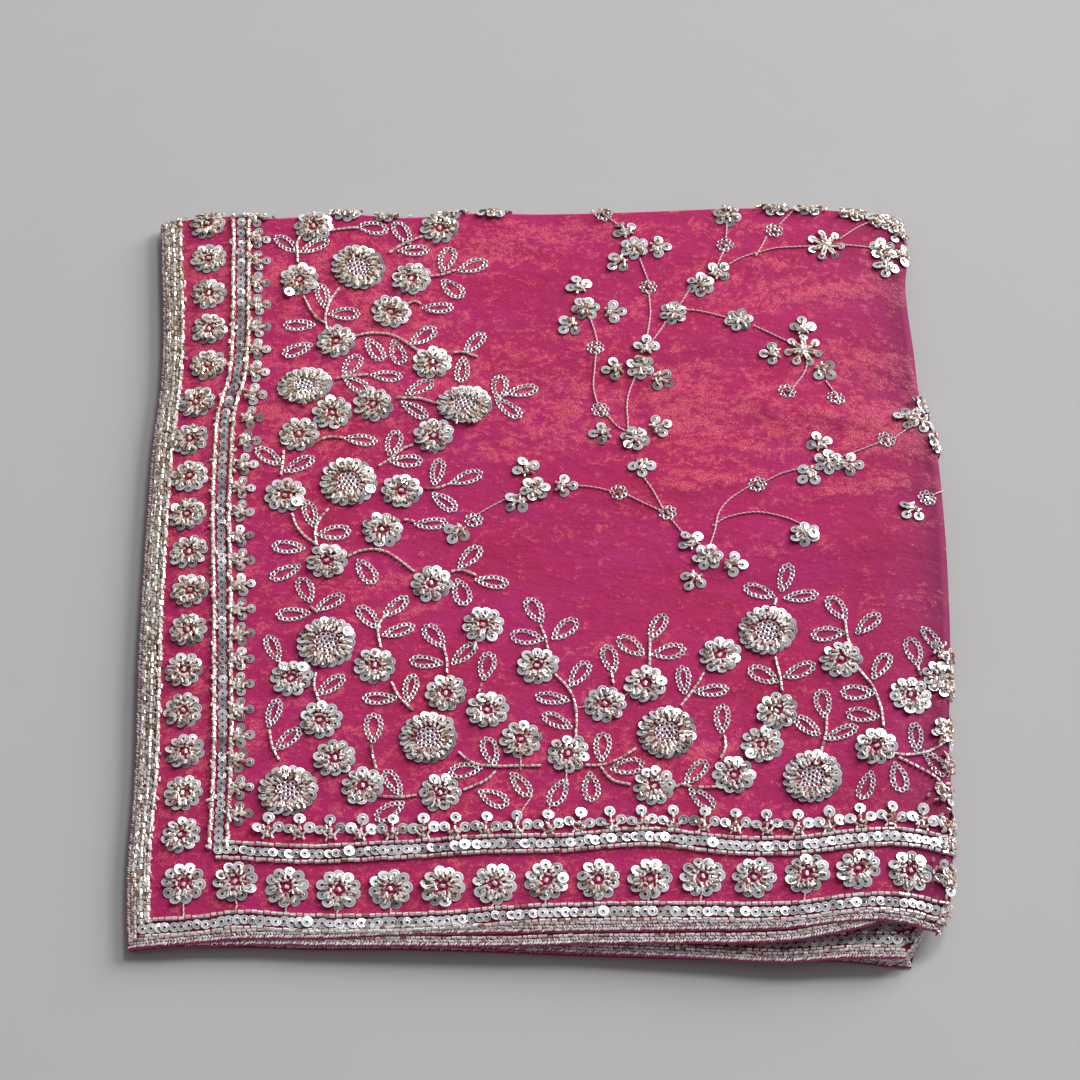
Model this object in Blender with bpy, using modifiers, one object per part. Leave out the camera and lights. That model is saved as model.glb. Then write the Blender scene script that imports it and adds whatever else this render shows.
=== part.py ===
"""A dupatta stole, folded to a flat stack and laid on a surface, border corner up.

The cloth is one long rectangle.  It is doubled along its length, so that both selvages lie
at the front, and then folded in six panels.  The first panel lies on top.  Its free end is
at the left (-X), its selvages are at the front (-Y), the fold to the second panel is at the
right (+X) and the long fold is at the back (+Y).

A place on the top ply is given as (s, t): metres along the cloth from the outer line of the
edging at the left, and metres from the outer line of the edging at the front.  Past
PANEL_WIDTH and PANEL_DEPTH the cloth rolls over the right fold and the back fold.
"""

import bpy
import numpy as np

COLLECTION_NAME = "dupatta_stole"

# Driving sizes, in metres.
CLOTH_WIDTH = 0.926            # the cut, from selvage to selvage, edging included
CLOTH_LENGTH = 2.58            # the cut, from end to end, edging included
PANEL_COUNT = 6
PANEL_WIDTH = CLOTH_LENGTH / PANEL_COUNT - 0.005     # left end to where the right fold starts
PANEL_DEPTH = CLOTH_WIDTH / 2 - 0.002                # front edge to where the back fold starts
TOP_WALL = 0.0012              # embroidered top ply
PLY_WALL = 0.0010              # the plies under it
SEAM_GAP = 0.0003
PLY_GAP = 0.0005               # between a ply and the next one down
EDGING_WIDTH = 0.0050
EDGING_WALL = 0.0015
EDGING_LIFT = 0.0002           # the beaded edging stands a little above its ply
BAND_WALL = 0.0010             # rows of beads and sequins sewn on the top ply
BAND_GAP = 0.0004
RIGHT_FOLD_RADIUS = 0.0050
BACK_FOLD_RADIUS = 0.0022
RIGHT_FOLD_TURN = np.radians(120)
BACK_FOLD_TURN = np.radians(100)
SMALL_STEP = 0.0005            # for slopes worked out from two close points

# How far the outer line stands out from the plain rectangle, in millimetres.
# Columns: share of the side, reach.  Sides run left to right, or front to back.
FRONT_LINE = ((0.00, 9.5), (0.06, 7.6), (0.15, 4.8), (0.24, 4.9), (0.35, 3.4), (0.50, 2.6),
              (0.70, 2.8), (0.82, 3.0), (0.88, 0.2), (0.93, -1.4), (0.97, -0.2), (1.00, 3.2))
BACK_LINE = ((0.00, -1.5), (0.10, 1.0), (0.16, -1.2), (0.25, 1.4), (0.33, -2.2), (0.43, 0.4),
             (0.52, -1.0), (0.66, -0.6), (0.82, 1.2), (0.93, -0.5), (1.00, -5.0))
LEFT_LINE = ((0.00, -4.0), (0.10, -1.5), (0.22, -2.4), (0.40, -0.4), (0.66, -1.0),
             (0.76, -3.6), (0.84, -3.0), (0.92, -0.6), (1.00, 2.0))
RIGHT_LINE = ((0.00, -7.0), (0.02, -2.0), (0.06, 2.0), (0.17, 4.6), (0.25, 5.0), (0.36, 8.6),
              (0.50, 10.0), (0.62, 9.2), (0.68, 7.0), (0.73, 1.0), (0.80, -1.0), (0.90, -3.5),
              (0.95, -1.5), (1.00, -3.0))

# Height of the top ply's face, in millimetres.  Columns: the share of the depth from the
# front, then the heights at the shares of the width that HEIGHT_SHARES gives.
HEIGHT_SHARES = (0.00, 0.03, 0.10, 0.25, 0.50, 0.75, 0.92, 1.00)
HEIGHT_ROWS = (
    (0.00, (4.8, 6.4, 7.6, 9.0, 11.2, 14.8, 18.0, 15.0)),
    (0.08, (5.0, 8.2, 9.8, 11.2, 13.4, 16.8, 19.4, 17.4)),
    (0.35, (5.4, 10.0, 12.0, 13.6, 15.4, 17.8, 20.4, 18.4)),
    (0.70, (5.4, 10.0, 12.0, 13.8, 16.0, 18.4, 19.4, 17.0)),
    (1.00, (4.8, 8.6, 10.8, 12.6, 15.0, 18.0, 17.4, 14.0)),
)

# The largest soft ridges of the top ply, in millimetres and degrees.
# Columns: s and t of the middle, direction, length, width, height.
RIDGES = (
    (300, 368, 8, 150, 26, 1.5),
    (368, 318, -14, 110, 24, 1.7),
    (256, 268, 24, 130, 28, 1.3),
    (372, 232, 6, 120, 26, 1.6),
    (150, 330, -20, 90, 28, 1.1),
    (318, 150, 12, 120, 30, 1.1),
    (108, 200, 70, 110, 30, 1.0),
    (398, 120, 80, 100, 24, 1.3),
)

# How far each lower ply's edging stands out in front of the top ply's, in millimetres.
# Columns: share of the width from the left, reach.
SECOND_REACH = ((0.00, 0.4), (0.06, 0.4), (0.13, 2.2), (0.24, 3.4), (0.34, 5.3), (0.47, 6.8),
                (0.56, 6.2), (0.80, 6.5), (0.88, 5.4), (0.92, 3.0), (0.96, -2.0), (1.00, -5.0))
THIRD_REACH = ((0.00, 0.0), (0.34, 3.4), (0.50, 8.0), (0.71, 12.4), (0.90, 17.0),
               (0.95, 17.2), (1.00, 14.0))
BOTTOM_REACH = ((0.00, -4.5), (0.06, -2.3), (0.14, 0.8), (0.30, 3.0), (0.44, 5.6), (0.56, 8.0),
                (0.67, 9.4), (0.78, 10.4), (0.85, 12.0), (0.90, 15.0), (0.95, 18.0), (1.00, 16.0))

# The hidden plies, as one layered solid.
LAYERS_LEFT_INSET = 0.0120
LAYERS_FRONT_INSET = 0.0070
LAYERS_RIGHT_INSET = 0.0010     # upper half, inside the right fold
LOWER_RIGHT_INSET = 0.0050      # lower half, set back under the right fold
LAYERS_BACK_INSET = -0.0008     # its folds reach a little past the plain rectangle
LOWER_FRONT_SETBACK = 0.0036    # behind the bottom ply's edging
SHELF_SHARE = 0.48              # where the lower half ends, as a share of the height
RIDGES_PER_HALF = 3
FOLD_RELIEF = 0.0016            # how far a ply's fold stands out from the groove beside it
CORNER_RADIUS = 0.012
FULL_RELIEF_HEIGHT = 0.008      # where the plies are thinner, their folds stand out less
LAYERS_TOP_GAP = 0.0006
DROOP_LINES = (0.0, 0.005, 0.011, 0.019, 0.030)     # close lines where a ply droops at its end

THIRD_START = 0.34              # share of the width where the third ply comes out
THIRD_END = 0.972
LOWER_END = 0.980               # share of the width where the bottom ply ends
SECOND_END_INSET = 0.0015       # the second ply's end, behind the top ply's
BOTTOM_END_INSET = 0.0045
# Bands of bead row, sequin row, bead row: from and to, measured from the edging's outer line.
OUTER_BAND = (0.0058, 0.0165)
OUTER_BAND_AT_END = (0.0058, 0.0130)     # drawn closer along the cloth's end
INNER_BAND = (0.0420, 0.0515)

# Cells of the grids, and steps of the rings round the hidden plies.
EVEN_CELLS = 27                 # of the top ply, past the inner band
RIGHT_FOLD_CELLS = 4
BACK_FOLD_CELLS = 3
SECOND_CELLS = (20, 18)
THIRD_CELLS = 40
BOTTOM_CELLS = (28, 6)
RING_SIDE_CELLS = 15
RING_CORNER_CELLS = 3
# Columns: place across one fold's height, how deep in its groove.
FOLD_STEPS = ((0.00, 1.0), (0.25, 0.2), (0.50, 0.0), (0.75, 0.2))
CAP_SHARES = (0.93, 0.78, 0.58, 0.36, 0.15)

# Finishes: colour, metallic, roughness.
CLOTH_FACE = ((0.445, 0.023, 0.147, 1.0), 0.25, 0.42)
CLOTH_REVERSE = ((0.330, 0.020, 0.110, 1.0), 0.15, 0.50)
BEADED_EDGING = ((0.600, 0.480, 0.400, 1.0), 0.70, 0.35)
DULL_EDGING = ((0.520, 0.410, 0.350, 1.0), 0.60, 0.45)
SEQUINS = ((0.720, 0.690, 0.660, 1.0), 0.85, 0.25)


def smooth(knots, values, x):
    """A cubic through the knots; the values are numbers or arrays shaped like x."""
    x = np.clip(np.asarray(x, float), knots[0], knots[-1])
    values = [np.broadcast_to(np.asarray(value, float), x.shape) for value in values]
    last = len(knots) - 1
    slopes = []
    for i in range(last + 1):
        low, high = max(i - 1, 0), min(i + 1, last)
        slopes.append((values[high] - values[low]) / (knots[high] - knots[low]))
    result = values[0].copy()
    for i in range(last):
        span = knots[i + 1] - knots[i]
        f = (x - knots[i]) / span
        piece = ((1 + 2 * f) * (1 - f) ** 2 * values[i] + f * (1 - f) ** 2 * span * slopes[i]
                 + f * f * (3 - 2 * f) * values[i + 1] + f * f * (f - 1) * span * slopes[i + 1])
        result = np.where(x >= knots[i], piece, result)
    return result


def reach(table, share):
    """A table of (share, millimetres) read as a smooth curve, in metres."""
    return smooth([row[0] for row in table], [row[1] for row in table], share) * 0.001


def rectangle_point(u, v):
    """Plan place (x, y) of a share of the panel; beyond 0 and 1 it goes straight on."""
    across, along = np.clip(u, 0, 1), np.clip(v, 0, 1)
    half_x, half_y = PANEL_WIDTH / 2, PANEL_DEPTH / 2

    def left(f):
        return -half_x - reach(LEFT_LINE, f)

    def right(f):
        return half_x + reach(RIGHT_LINE, f)

    def front(f):
        return -half_y - reach(FRONT_LINE, f)

    def back(f):
        return half_y + reach(BACK_LINE, f)

    x = left(along) * (1 - across) + right(along) * across
    y = front(across) * (1 - along) + back(across) * along
    x = x + (u - across) * PANEL_WIDTH
    y = y + (v - along) * PANEL_DEPTH
    return x, y


def face_height(u, v):
    """Height of the top ply's face without its ridges; past the edges it keeps its slope."""
    across, along = np.clip(u, 0, 1), np.clip(v, 0, 1)
    rows = [smooth(HEIGHT_SHARES, row[1], across) for row in HEIGHT_ROWS]
    return smooth([row[0] for row in HEIGHT_ROWS], rows, along) * 0.001


def ridge_height(s, t):
    """The soft ridges: rounded in section and tapering to nothing at both ends."""
    total = np.zeros_like(s)
    for mid_s, mid_t, angle, length, width, height in RIDGES:
        turn = np.radians(angle)
        ds, dt = s - mid_s * 0.001, t - mid_t * 0.001
        along = (ds * np.cos(turn) + dt * np.sin(turn)) / (length * 0.0005)
        across = (dt * np.cos(turn) - ds * np.sin(turn)) / (width * 0.0005)
        total = total + height * 0.001 * np.exp(-along ** 2 - across ** 2)
    return total


def top_point(s, t):
    """World place of (s, t) on the top ply's outer face, rolled over both folds."""
    turn_s = np.maximum(s - PANEL_WIDTH, 0) / RIGHT_FOLD_RADIUS
    turn_t = np.maximum(t - PANEL_DEPTH, 0) / BACK_FOLD_RADIUS
    u, v = np.minimum(s / PANEL_WIDTH, 1), np.minimum(t / PANEL_DEPTH, 1)
    x, y = rectangle_point(u, v)
    z = face_height(u, v) + ridge_height(np.minimum(s, PANEL_WIDTH), np.minimum(t, PANEL_DEPTH))
    turn = np.maximum(turn_s, turn_t)
    length = np.maximum(np.hypot(turn_s, turn_t), 1e-9)
    way_s, way_t = turn_s / length, turn_t / length
    radius = RIGHT_FOLD_RADIUS * way_s ** 2 + BACK_FOLD_RADIUS * way_t ** 2
    x = x + RIGHT_FOLD_RADIUS * np.sin(turn) * way_s
    y = y + BACK_FOLD_RADIUS * np.sin(turn) * way_t
    return np.stack([x, y, z - radius * (1 - np.cos(turn))], axis=-1)


def ply_point(s, t, drop):
    """World place of (s, t) on a lower ply, a drop below the top ply's plain face."""
    u, v = s / PANEL_WIDTH, t / PANEL_DEPTH
    x, y = rectangle_point(u, v)
    return np.stack([x, y, face_height(u, v) - drop], axis=-1)


def layers_top(u, v):
    """Height of the hidden plies' upper face, just under the second ply."""
    under_second = TOP_WALL + PLY_GAP + PLY_WALL + LAYERS_TOP_GAP
    return face_height(u, v) - under_second


def shelf_height(u, v):
    """Height of the ledge where the lower half of the hidden plies ends."""
    base = PLY_WALL + SEAM_GAP
    return base + SHELF_SHARE * (layers_top(u, v) - base)


def make_material(name, finish):
    colour, metallic, roughness = finish
    material = bpy.data.materials.new(name)
    material.use_nodes = True
    shader = material.node_tree.nodes["Principled BSDF"]
    shader.inputs["Base Color"].default_value = colour
    shader.inputs["Metallic"].default_value = metallic
    shader.inputs["Roughness"].default_value = roughness
    material.diffuse_color = colour
    return material


def add_object(name, vertices, faces, finish):
    mesh = bpy.data.meshes.new(name)
    mesh.from_pydata([tuple(map(float, vertex)) for vertex in vertices], [], faces)
    mesh.validate()
    mesh.materials.append(make_material(name + "_finish", finish))
    mesh.shade_smooth()
    piece = bpy.data.objects.new(name, mesh)
    bpy.data.collections[COLLECTION_NAME].objects.link(piece)
    return piece


def add_sheet(name, points, wall, finish, outward=False):
    """A grid of points as an open sheet, thickened down, or up where outward is true."""
    rows, columns = points.shape[:2]
    faces = []
    for i in range(rows - 1):
        for j in range(columns - 1):
            a = i * columns + j
            faces.append((a, a + columns, a + columns + 1, a + 1))
    piece = add_object(name, points.reshape(-1, 3), faces, finish)
    solidify = piece.modifiers.new("wall", "SOLIDIFY")
    solidify.thickness = wall
    solidify.offset = 1.0 if outward else -1.0


def middle(pair):
    return (pair[0] + pair[1]) / 2


def panel_lines(outer_band, length):
    """Grid lines of the top ply: at the edging, on each band's sides and middle, then even."""
    near = [EDGING_WIDTH + SEAM_GAP, middle(outer_band), outer_band[1],
            middle((outer_band[1], INNER_BAND[0])), INNER_BAND[0], middle(INNER_BAND)]
    return np.concatenate([near, np.linspace(INNER_BAND[1], length, EVEN_CELLS + 1)])


def fold_lines(length, radius, turn, cells):
    """Grid lines that carry on round a fold."""
    return length + radius * turn * np.arange(1, cells + 1) / cells


def top_lines():
    s = np.concatenate([panel_lines(OUTER_BAND_AT_END, PANEL_WIDTH),
                        fold_lines(PANEL_WIDTH, RIGHT_FOLD_RADIUS, RIGHT_FOLD_TURN,
                                   RIGHT_FOLD_CELLS)])
    t = np.concatenate([panel_lines(OUTER_BAND, PANEL_DEPTH),
                        fold_lines(PANEL_DEPTH, BACK_FOLD_RADIUS, BACK_FOLD_TURN,
                                   BACK_FOLD_CELLS)])
    return s, t


def corner_path(end_offset, front_offset, s_lines, t_lines, corner_s, front_line):
    """(s, t) down the cloth's end at an offset from its edge, then along the front side."""
    corner = np.array([corner_s + end_offset])
    corner_t = front_line(corner) + front_offset
    left_t = t_lines[t_lines > corner_t[0] + SMALL_STEP][::-1]
    front_s = s_lines[s_lines > corner[0] + SMALL_STEP]
    s = np.concatenate([np.full(len(left_t), corner[0]), corner, front_s])
    t = np.concatenate([left_t, corner_t, front_line(front_s) + front_offset])
    return s, t


def plain_front(s):
    return np.zeros_like(s)


def second_front(s):
    return -reach(SECOND_REACH, s / PANEL_WIDTH)


def third_front(s):
    return -reach(THIRD_REACH, s / PANEL_WIDTH)


def bottom_front(s):
    return -reach(BOTTOM_REACH, s / PANEL_WIDTH)


def add_top_stretch():
    s, t = top_lines()
    grid_s, grid_t = np.meshgrid(s, t, indexing="ij")
    add_sheet("top_stretch", top_point(grid_s, grid_t), TOP_WALL, CLOTH_FACE)


def add_top_edging():
    """The beaded edging along the end and the front selvage, mitred at the corner."""
    s_lines, t_lines = top_lines()
    s_lines, t_lines = s_lines[1:], t_lines[1:]
    rows = []
    for offset in (EDGING_WIDTH, EDGING_WIDTH / 2, 0.0):
        s, t = corner_path(offset, offset, s_lines, t_lines, 0.0, plain_front)
        rows.append(top_point(s, t) + np.array([0, 0, EDGING_LIFT]))
    add_sheet("top_edging", np.array(rows), EDGING_WALL, BEADED_EDGING)


def add_band(name, end_band, front_band):
    """Rows of beads and sequins in relief, made from the top ply's points moved out."""
    s_lines, t_lines = top_lines()
    s_lines = s_lines[s_lines > end_band[1] + SMALL_STEP]
    t_lines = t_lines[t_lines > front_band[1] + SMALL_STEP]
    rows = []
    for end_offset, front_offset in ((end_band[1], front_band[1]),
                                     (middle(end_band), middle(front_band)),
                                     (end_band[0], front_band[0])):
        s, t = corner_path(end_offset, front_offset, s_lines, t_lines, 0.0, plain_front)
        point = top_point(s, t)
        ahead = top_point(s + SMALL_STEP, t) - point
        beside = top_point(s, t + SMALL_STEP) - point
        outward = np.cross(ahead, beside)
        outward /= np.linalg.norm(outward, axis=1)[:, None]
        rows.append(point + outward * BAND_GAP)
    add_sheet(name, np.array(rows), BAND_WALL, SEQUINS, outward=True)


def lower_ply_lines(first_s, last_s, last_t, front_line, cells):
    """(s, t) grid of a lower ply, inside its edging."""
    inset = EDGING_WIDTH + SEAM_GAP
    near = first_s + inset + np.array(DROOP_LINES)
    s = np.concatenate([near, np.linspace(near[-1], last_s, cells[0] + 1)[1:]])
    share = np.linspace(0, 1, cells[1] + 1)[None, :]
    t = (front_line(s)[:, None] + inset) * (1 - share) + last_t * share
    return np.repeat(s[:, None], cells[1] + 1, axis=1), t


def lower_edging_rows(grid_s, grid_t, first_s, front_line):
    """(s, t) of the inner and the outer line of a lower ply's edging."""
    return [corner_path(offset, offset, grid_s[1:, 0], grid_t[0, 1:], first_s, front_line)
            for offset in (EDGING_WIDTH, 0.0)]


def add_second_ply():
    """The lower ply of the top panel, its reverse side showing along the front."""
    drop = TOP_WALL + PLY_GAP
    s, t = lower_ply_lines(SECOND_END_INSET, PANEL_WIDTH - SEAM_GAP, PANEL_DEPTH - SEAM_GAP,
                           second_front, SECOND_CELLS)
    add_sheet("second_stretch", ply_point(s, t, drop), PLY_WALL, CLOTH_REVERSE)
    rows = [ply_point(row_s, row_t, drop)
            for row_s, row_t in lower_edging_rows(s, t, SECOND_END_INSET, second_front)]
    add_sheet("second_edging", np.array(rows), PLY_WALL, DULL_EDGING)


def shelf_point(s, t):
    """World place on the ledge of the hidden plies, a ply's wall above it."""
    u, v = s / PANEL_WIDTH, t / PANEL_DEPTH
    x, y = rectangle_point(u, v)
    return np.stack([x, y, shelf_height(u, v) + SEAM_GAP + PLY_WALL], axis=-1)


def add_third_ply():
    """The upper ply of the lower bundle, which comes out in front of the panels above."""
    s = np.linspace(THIRD_START, THIRD_END, THIRD_CELLS + 1) * PANEL_WIDTH
    start = third_front(s) + EDGING_WIDTH + SEAM_GAP
    rows = []
    for share in (1.0, 0.5, 0.0):
        t = start * (1 - share) + (LAYERS_FRONT_INSET - FOLD_RELIEF) * share
        rows.append(shelf_point(s, t))
    add_sheet("third_stretch", np.array(rows), PLY_WALL, CLOTH_FACE)
    rows = [shelf_point(s, third_front(s) + offset) for offset in (EDGING_WIDTH, 0.0)]
    add_sheet("third_edging", np.array(rows), PLY_WALL, BEADED_EDGING)


def flat_point(s, t, height):
    x, y = rectangle_point(s / PANEL_WIDTH, t / PANEL_DEPTH)
    return np.stack([x, y, np.full_like(x, height)], axis=-1)


def add_bottom_ply():
    """The lowest ply, flat on the surface, and its edging."""
    s, t = lower_ply_lines(BOTTOM_END_INSET, LOWER_END * PANEL_WIDTH, PANEL_DEPTH,
                           bottom_front, BOTTOM_CELLS)
    add_sheet("bottom_stretch", flat_point(s, t, PLY_WALL), PLY_WALL, CLOTH_REVERSE)
    rows = [flat_point(row_s, row_t, PLY_WALL)
            for row_s, row_t in lower_edging_rows(s, t, BOTTOM_END_INSET, bottom_front)]
    add_sheet("bottom_edging", np.array(rows), PLY_WALL, BEADED_EDGING)


def layer_ring(left, right, front, back, lower):
    """Plan shares (u, v) round a rectangle with rounded corners, anticlockwise from above.

    The four numbers are the insets in metres.  In the lower half the front side follows the
    bottom ply's edging instead.
    """
    radius = CORNER_RADIUS
    low_s, high_s = left + radius, PANEL_WIDTH - right - radius
    low_t, high_t = front + radius, PANEL_DEPTH - back - radius
    # Each run: s from and to, t from and to, the centre of the corner after it, its angle.
    runs = (((low_s, high_s), (front, front), (high_s, low_t), -90),
            ((high_s + radius, high_s + radius), (low_t, high_t), (high_s, high_t), 0),
            ((high_s, low_s), (high_t + radius, high_t + radius), (low_s, high_t), 90),
            ((left, left), (high_t, low_t), (low_s, low_t), 180))
    s, t = [], []
    for run_s, run_t, centre, start_angle in runs:
        s.append(np.linspace(run_s[0], run_s[1], RING_SIDE_CELLS + 1))
        t.append(np.linspace(run_t[0], run_t[1], RING_SIDE_CELLS + 1))
        step = np.arange(1, RING_CORNER_CELLS) / RING_CORNER_CELLS
        angle = np.radians(start_angle + 90 * step)
        s.append(centre[0] + radius * np.cos(angle))
        t.append(centre[1] + radius * np.sin(angle))
    s, t = np.concatenate(s), np.concatenate(t)
    if lower:
        forward = (t - front) / (PANEL_DEPTH / 3)
        pull = np.clip(1 - forward, 0, 1) ** 2
        shift = bottom_front(s) + LOWER_FRONT_SETBACK - LAYERS_FRONT_INSET
        t = t + shift * pull
    return s / PANEL_WIDTH, t / PANEL_DEPTH


def half_ring(half, relief):
    """The plan ring of the lower half (0) or the upper half (1), drawn in by the relief."""
    right = (LOWER_RIGHT_INSET, LAYERS_RIGHT_INSET)[half]
    return layer_ring(LAYERS_LEFT_INSET + relief, right + relief, LAYERS_FRONT_INSET + relief,
                      LAYERS_BACK_INSET + relief, half == 0)


def add_folded_layers():
    """The hidden plies as one solid: rings in two halves, each with three folds in relief."""
    base = PLY_WALL + SEAM_GAP
    rings = []
    for half, (low, high) in enumerate(((0.0, SHELF_SHARE), (SHELF_SHARE, 1.0))):
        for fold in range(RIDGES_PER_HALF):
            for place, groove in FOLD_STEPS:
                share = (fold + place) / RIDGES_PER_HALF
                rings.append((low + (high - low) * share, groove, half))
        rings.append((high, 1.0, half))
    vertices = []
    for share, groove, half in rings:
        crest_u, crest_v = half_ring(half, 0.0)
        groove_u, groove_v = half_ring(half, FOLD_RELIEF)
        room = (layers_top(crest_u, crest_v) - base) / FULL_RELIEF_HEIGHT
        depth = groove * np.clip(room, 0.1, 1)
        u, v = crest_u + (groove_u - crest_u) * depth, crest_v + (groove_v - crest_v) * depth
        x, y = rectangle_point(u, v)
        z = base + share * (layers_top(u, v) - base)
        vertices.append(np.stack([x, y, z], axis=-1))
    edge_u, edge_v = half_ring(1, FOLD_RELIEF)
    for share in CAP_SHARES:
        u, v = 0.5 + (edge_u - 0.5) * share, 0.5 + (edge_v - 0.5) * share
        x, y = rectangle_point(u, v)
        vertices.append(np.stack([x, y, layers_top(u, v)], axis=-1))
    count = len(vertices[0])
    faces = [tuple(range(count - 1, -1, -1))]
    for ring in range(len(vertices) - 1):
        for i in range(count):
            k = (i + 1) % count
            a, b = ring * count, (ring + 1) * count
            faces.append((a + i, a + k, b + k, b + i))
    last = (len(vertices) - 1) * count
    faces.append(tuple(range(last, last + count)))
    add_object("folded_layers", np.concatenate(vertices), faces, CLOTH_REVERSE)


def centre_on_origin(pieces):
    """Move all the pieces so that the middle of the whole underside is at the origin."""
    bpy.context.view_layer.update()
    graph = bpy.context.evaluated_depsgraph_get()
    corners = []
    for piece in pieces:
        mesh = piece.evaluated_get(graph).to_mesh()
        flat = np.empty(len(mesh.vertices) * 3)
        mesh.vertices.foreach_get("co", flat)
        corners.append(flat.reshape(-1, 3).min(axis=0))
        corners.append(flat.reshape(-1, 3).max(axis=0))
    low, high = np.min(corners, axis=0), np.max(corners, axis=0)
    shift = (-(low[0] + high[0]) / 2, -(low[1] + high[1]) / 2, -low[2])
    for piece in pieces:
        piece.location = shift


def main():
    for old in list(bpy.data.objects):
        bpy.data.objects.remove(old, do_unlink=True)
    collection = bpy.data.collections.new(COLLECTION_NAME)
    bpy.context.scene.collection.children.link(collection)
    add_bottom_ply()
    add_folded_layers()
    add_third_ply()
    add_second_ply()
    add_top_stretch()
    add_top_edging()
    add_band("outer_band", OUTER_BAND_AT_END, OUTER_BAND)
    add_band("inner_band", INNER_BAND, INNER_BAND)
    centre_on_origin(list(collection.objects))


main()
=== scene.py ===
# The looks of a folded dupatta stole: crushed tissue cloth, beaded edging, rows of beads and
# sequins, and a flower trail sewn over the top panel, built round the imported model.
# A place on the cloth is (s, t): the way along it from the left end, and up from its front edge.

import bpy
import numpy as np
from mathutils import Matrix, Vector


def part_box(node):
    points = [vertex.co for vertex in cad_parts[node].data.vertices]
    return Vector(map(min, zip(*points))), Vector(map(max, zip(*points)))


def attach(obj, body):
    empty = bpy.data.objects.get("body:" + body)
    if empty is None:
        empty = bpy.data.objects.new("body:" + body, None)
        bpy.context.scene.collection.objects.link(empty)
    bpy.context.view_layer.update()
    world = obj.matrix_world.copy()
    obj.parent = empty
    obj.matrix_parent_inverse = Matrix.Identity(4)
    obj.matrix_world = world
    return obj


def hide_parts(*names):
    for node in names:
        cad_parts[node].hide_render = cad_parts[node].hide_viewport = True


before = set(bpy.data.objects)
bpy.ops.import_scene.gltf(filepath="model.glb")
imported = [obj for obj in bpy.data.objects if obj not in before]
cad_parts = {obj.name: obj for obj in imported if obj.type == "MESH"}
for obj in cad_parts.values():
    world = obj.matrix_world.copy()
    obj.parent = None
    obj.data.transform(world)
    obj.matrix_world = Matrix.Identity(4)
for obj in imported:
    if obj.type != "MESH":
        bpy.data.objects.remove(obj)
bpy.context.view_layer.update()        # the bodies, nodes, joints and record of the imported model

mm = 0.001
rng = np.random.default_rng(57)
smallStep = 0.0005       # for directions worked out from two close points

# The cloth's own sizes, as its solids have them, in metres.
cloth = {
    "width": 2.58 / 6 - 0.005,         # left end to where the right fold starts
    "depth": 0.926 / 2 - 0.002,        # front edge to where the back fold starts
    "wall": 0.0012,
    "plyWall": 0.0010,
    "seamGap": 0.0003,
    "plyGap": 0.0005,
    "rightFoldRadius": 0.0050,
    "backFoldRadius": 0.0022,
    "rightFoldTurn": np.radians(120),
    "backFoldTurn": np.radians(100),
}
# How far each side stands out from the plain rectangle: share of the side, millimetres.
sides = {
    "front": ((0.00, 9.5), (0.06, 7.6), (0.15, 4.8), (0.24, 4.9), (0.35, 3.4), (0.50, 2.6),
              (0.70, 2.8), (0.82, 3.0), (0.88, 0.2), (0.93, -1.4), (0.97, -0.2), (1.00, 3.2)),
    "back": ((0.00, -1.5), (0.10, 1.0), (0.16, -1.2), (0.25, 1.4), (0.33, -2.2), (0.43, 0.4),
             (0.52, -1.0), (0.66, -0.6), (0.82, 1.2), (0.93, -0.5), (1.00, -5.0)),
    "left": ((0.00, -4.0), (0.10, -1.5), (0.22, -2.4), (0.40, -0.4), (0.66, -1.0),
             (0.76, -3.6), (0.84, -3.0), (0.92, -0.6), (1.00, 2.0)),
    "right": ((0.00, -7.0), (0.02, -2.0), (0.06, 2.0), (0.17, 4.6), (0.25, 5.0), (0.36, 8.6),
              (0.50, 10.0), (0.62, 9.2), (0.68, 7.0), (0.73, 1.0), (0.80, -1.0), (0.90, -3.5),
              (0.95, -1.5), (1.00, -3.0)),
}
# Height of the top face: share of the depth, then millimetres at these shares of the width.
heightShares = (0.00, 0.03, 0.10, 0.25, 0.50, 0.75, 0.92, 1.00)
heightRows = (
    (0.00, (4.8, 6.4, 7.6, 9.0, 11.2, 14.8, 18.0, 15.0)),
    (0.08, (5.0, 8.2, 9.8, 11.2, 13.4, 16.8, 19.4, 17.4)),
    (0.35, (5.4, 10.0, 12.0, 13.6, 15.4, 17.8, 20.4, 18.4)),
    (0.70, (5.4, 10.0, 12.0, 13.8, 16.0, 18.4, 19.4, 17.0)),
    (1.00, (4.8, 8.6, 10.8, 12.6, 15.0, 18.0, 17.4, 14.0)),
)
# Soft ridges: s, t, direction, length, width, height, in millimetres and degrees.
ridges = (
    (300, 368, 8, 150, 26, 1.5), (368, 318, -14, 110, 24, 1.7), (256, 268, 24, 130, 28, 1.3),
    (372, 232, 6, 120, 26, 1.6), (150, 330, -20, 90, 28, 1.1), (318, 150, 12, 120, 30, 1.1),
    (108, 200, 70, 110, 30, 1.0), (398, 120, 80, 100, 24, 1.3),
)
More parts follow.
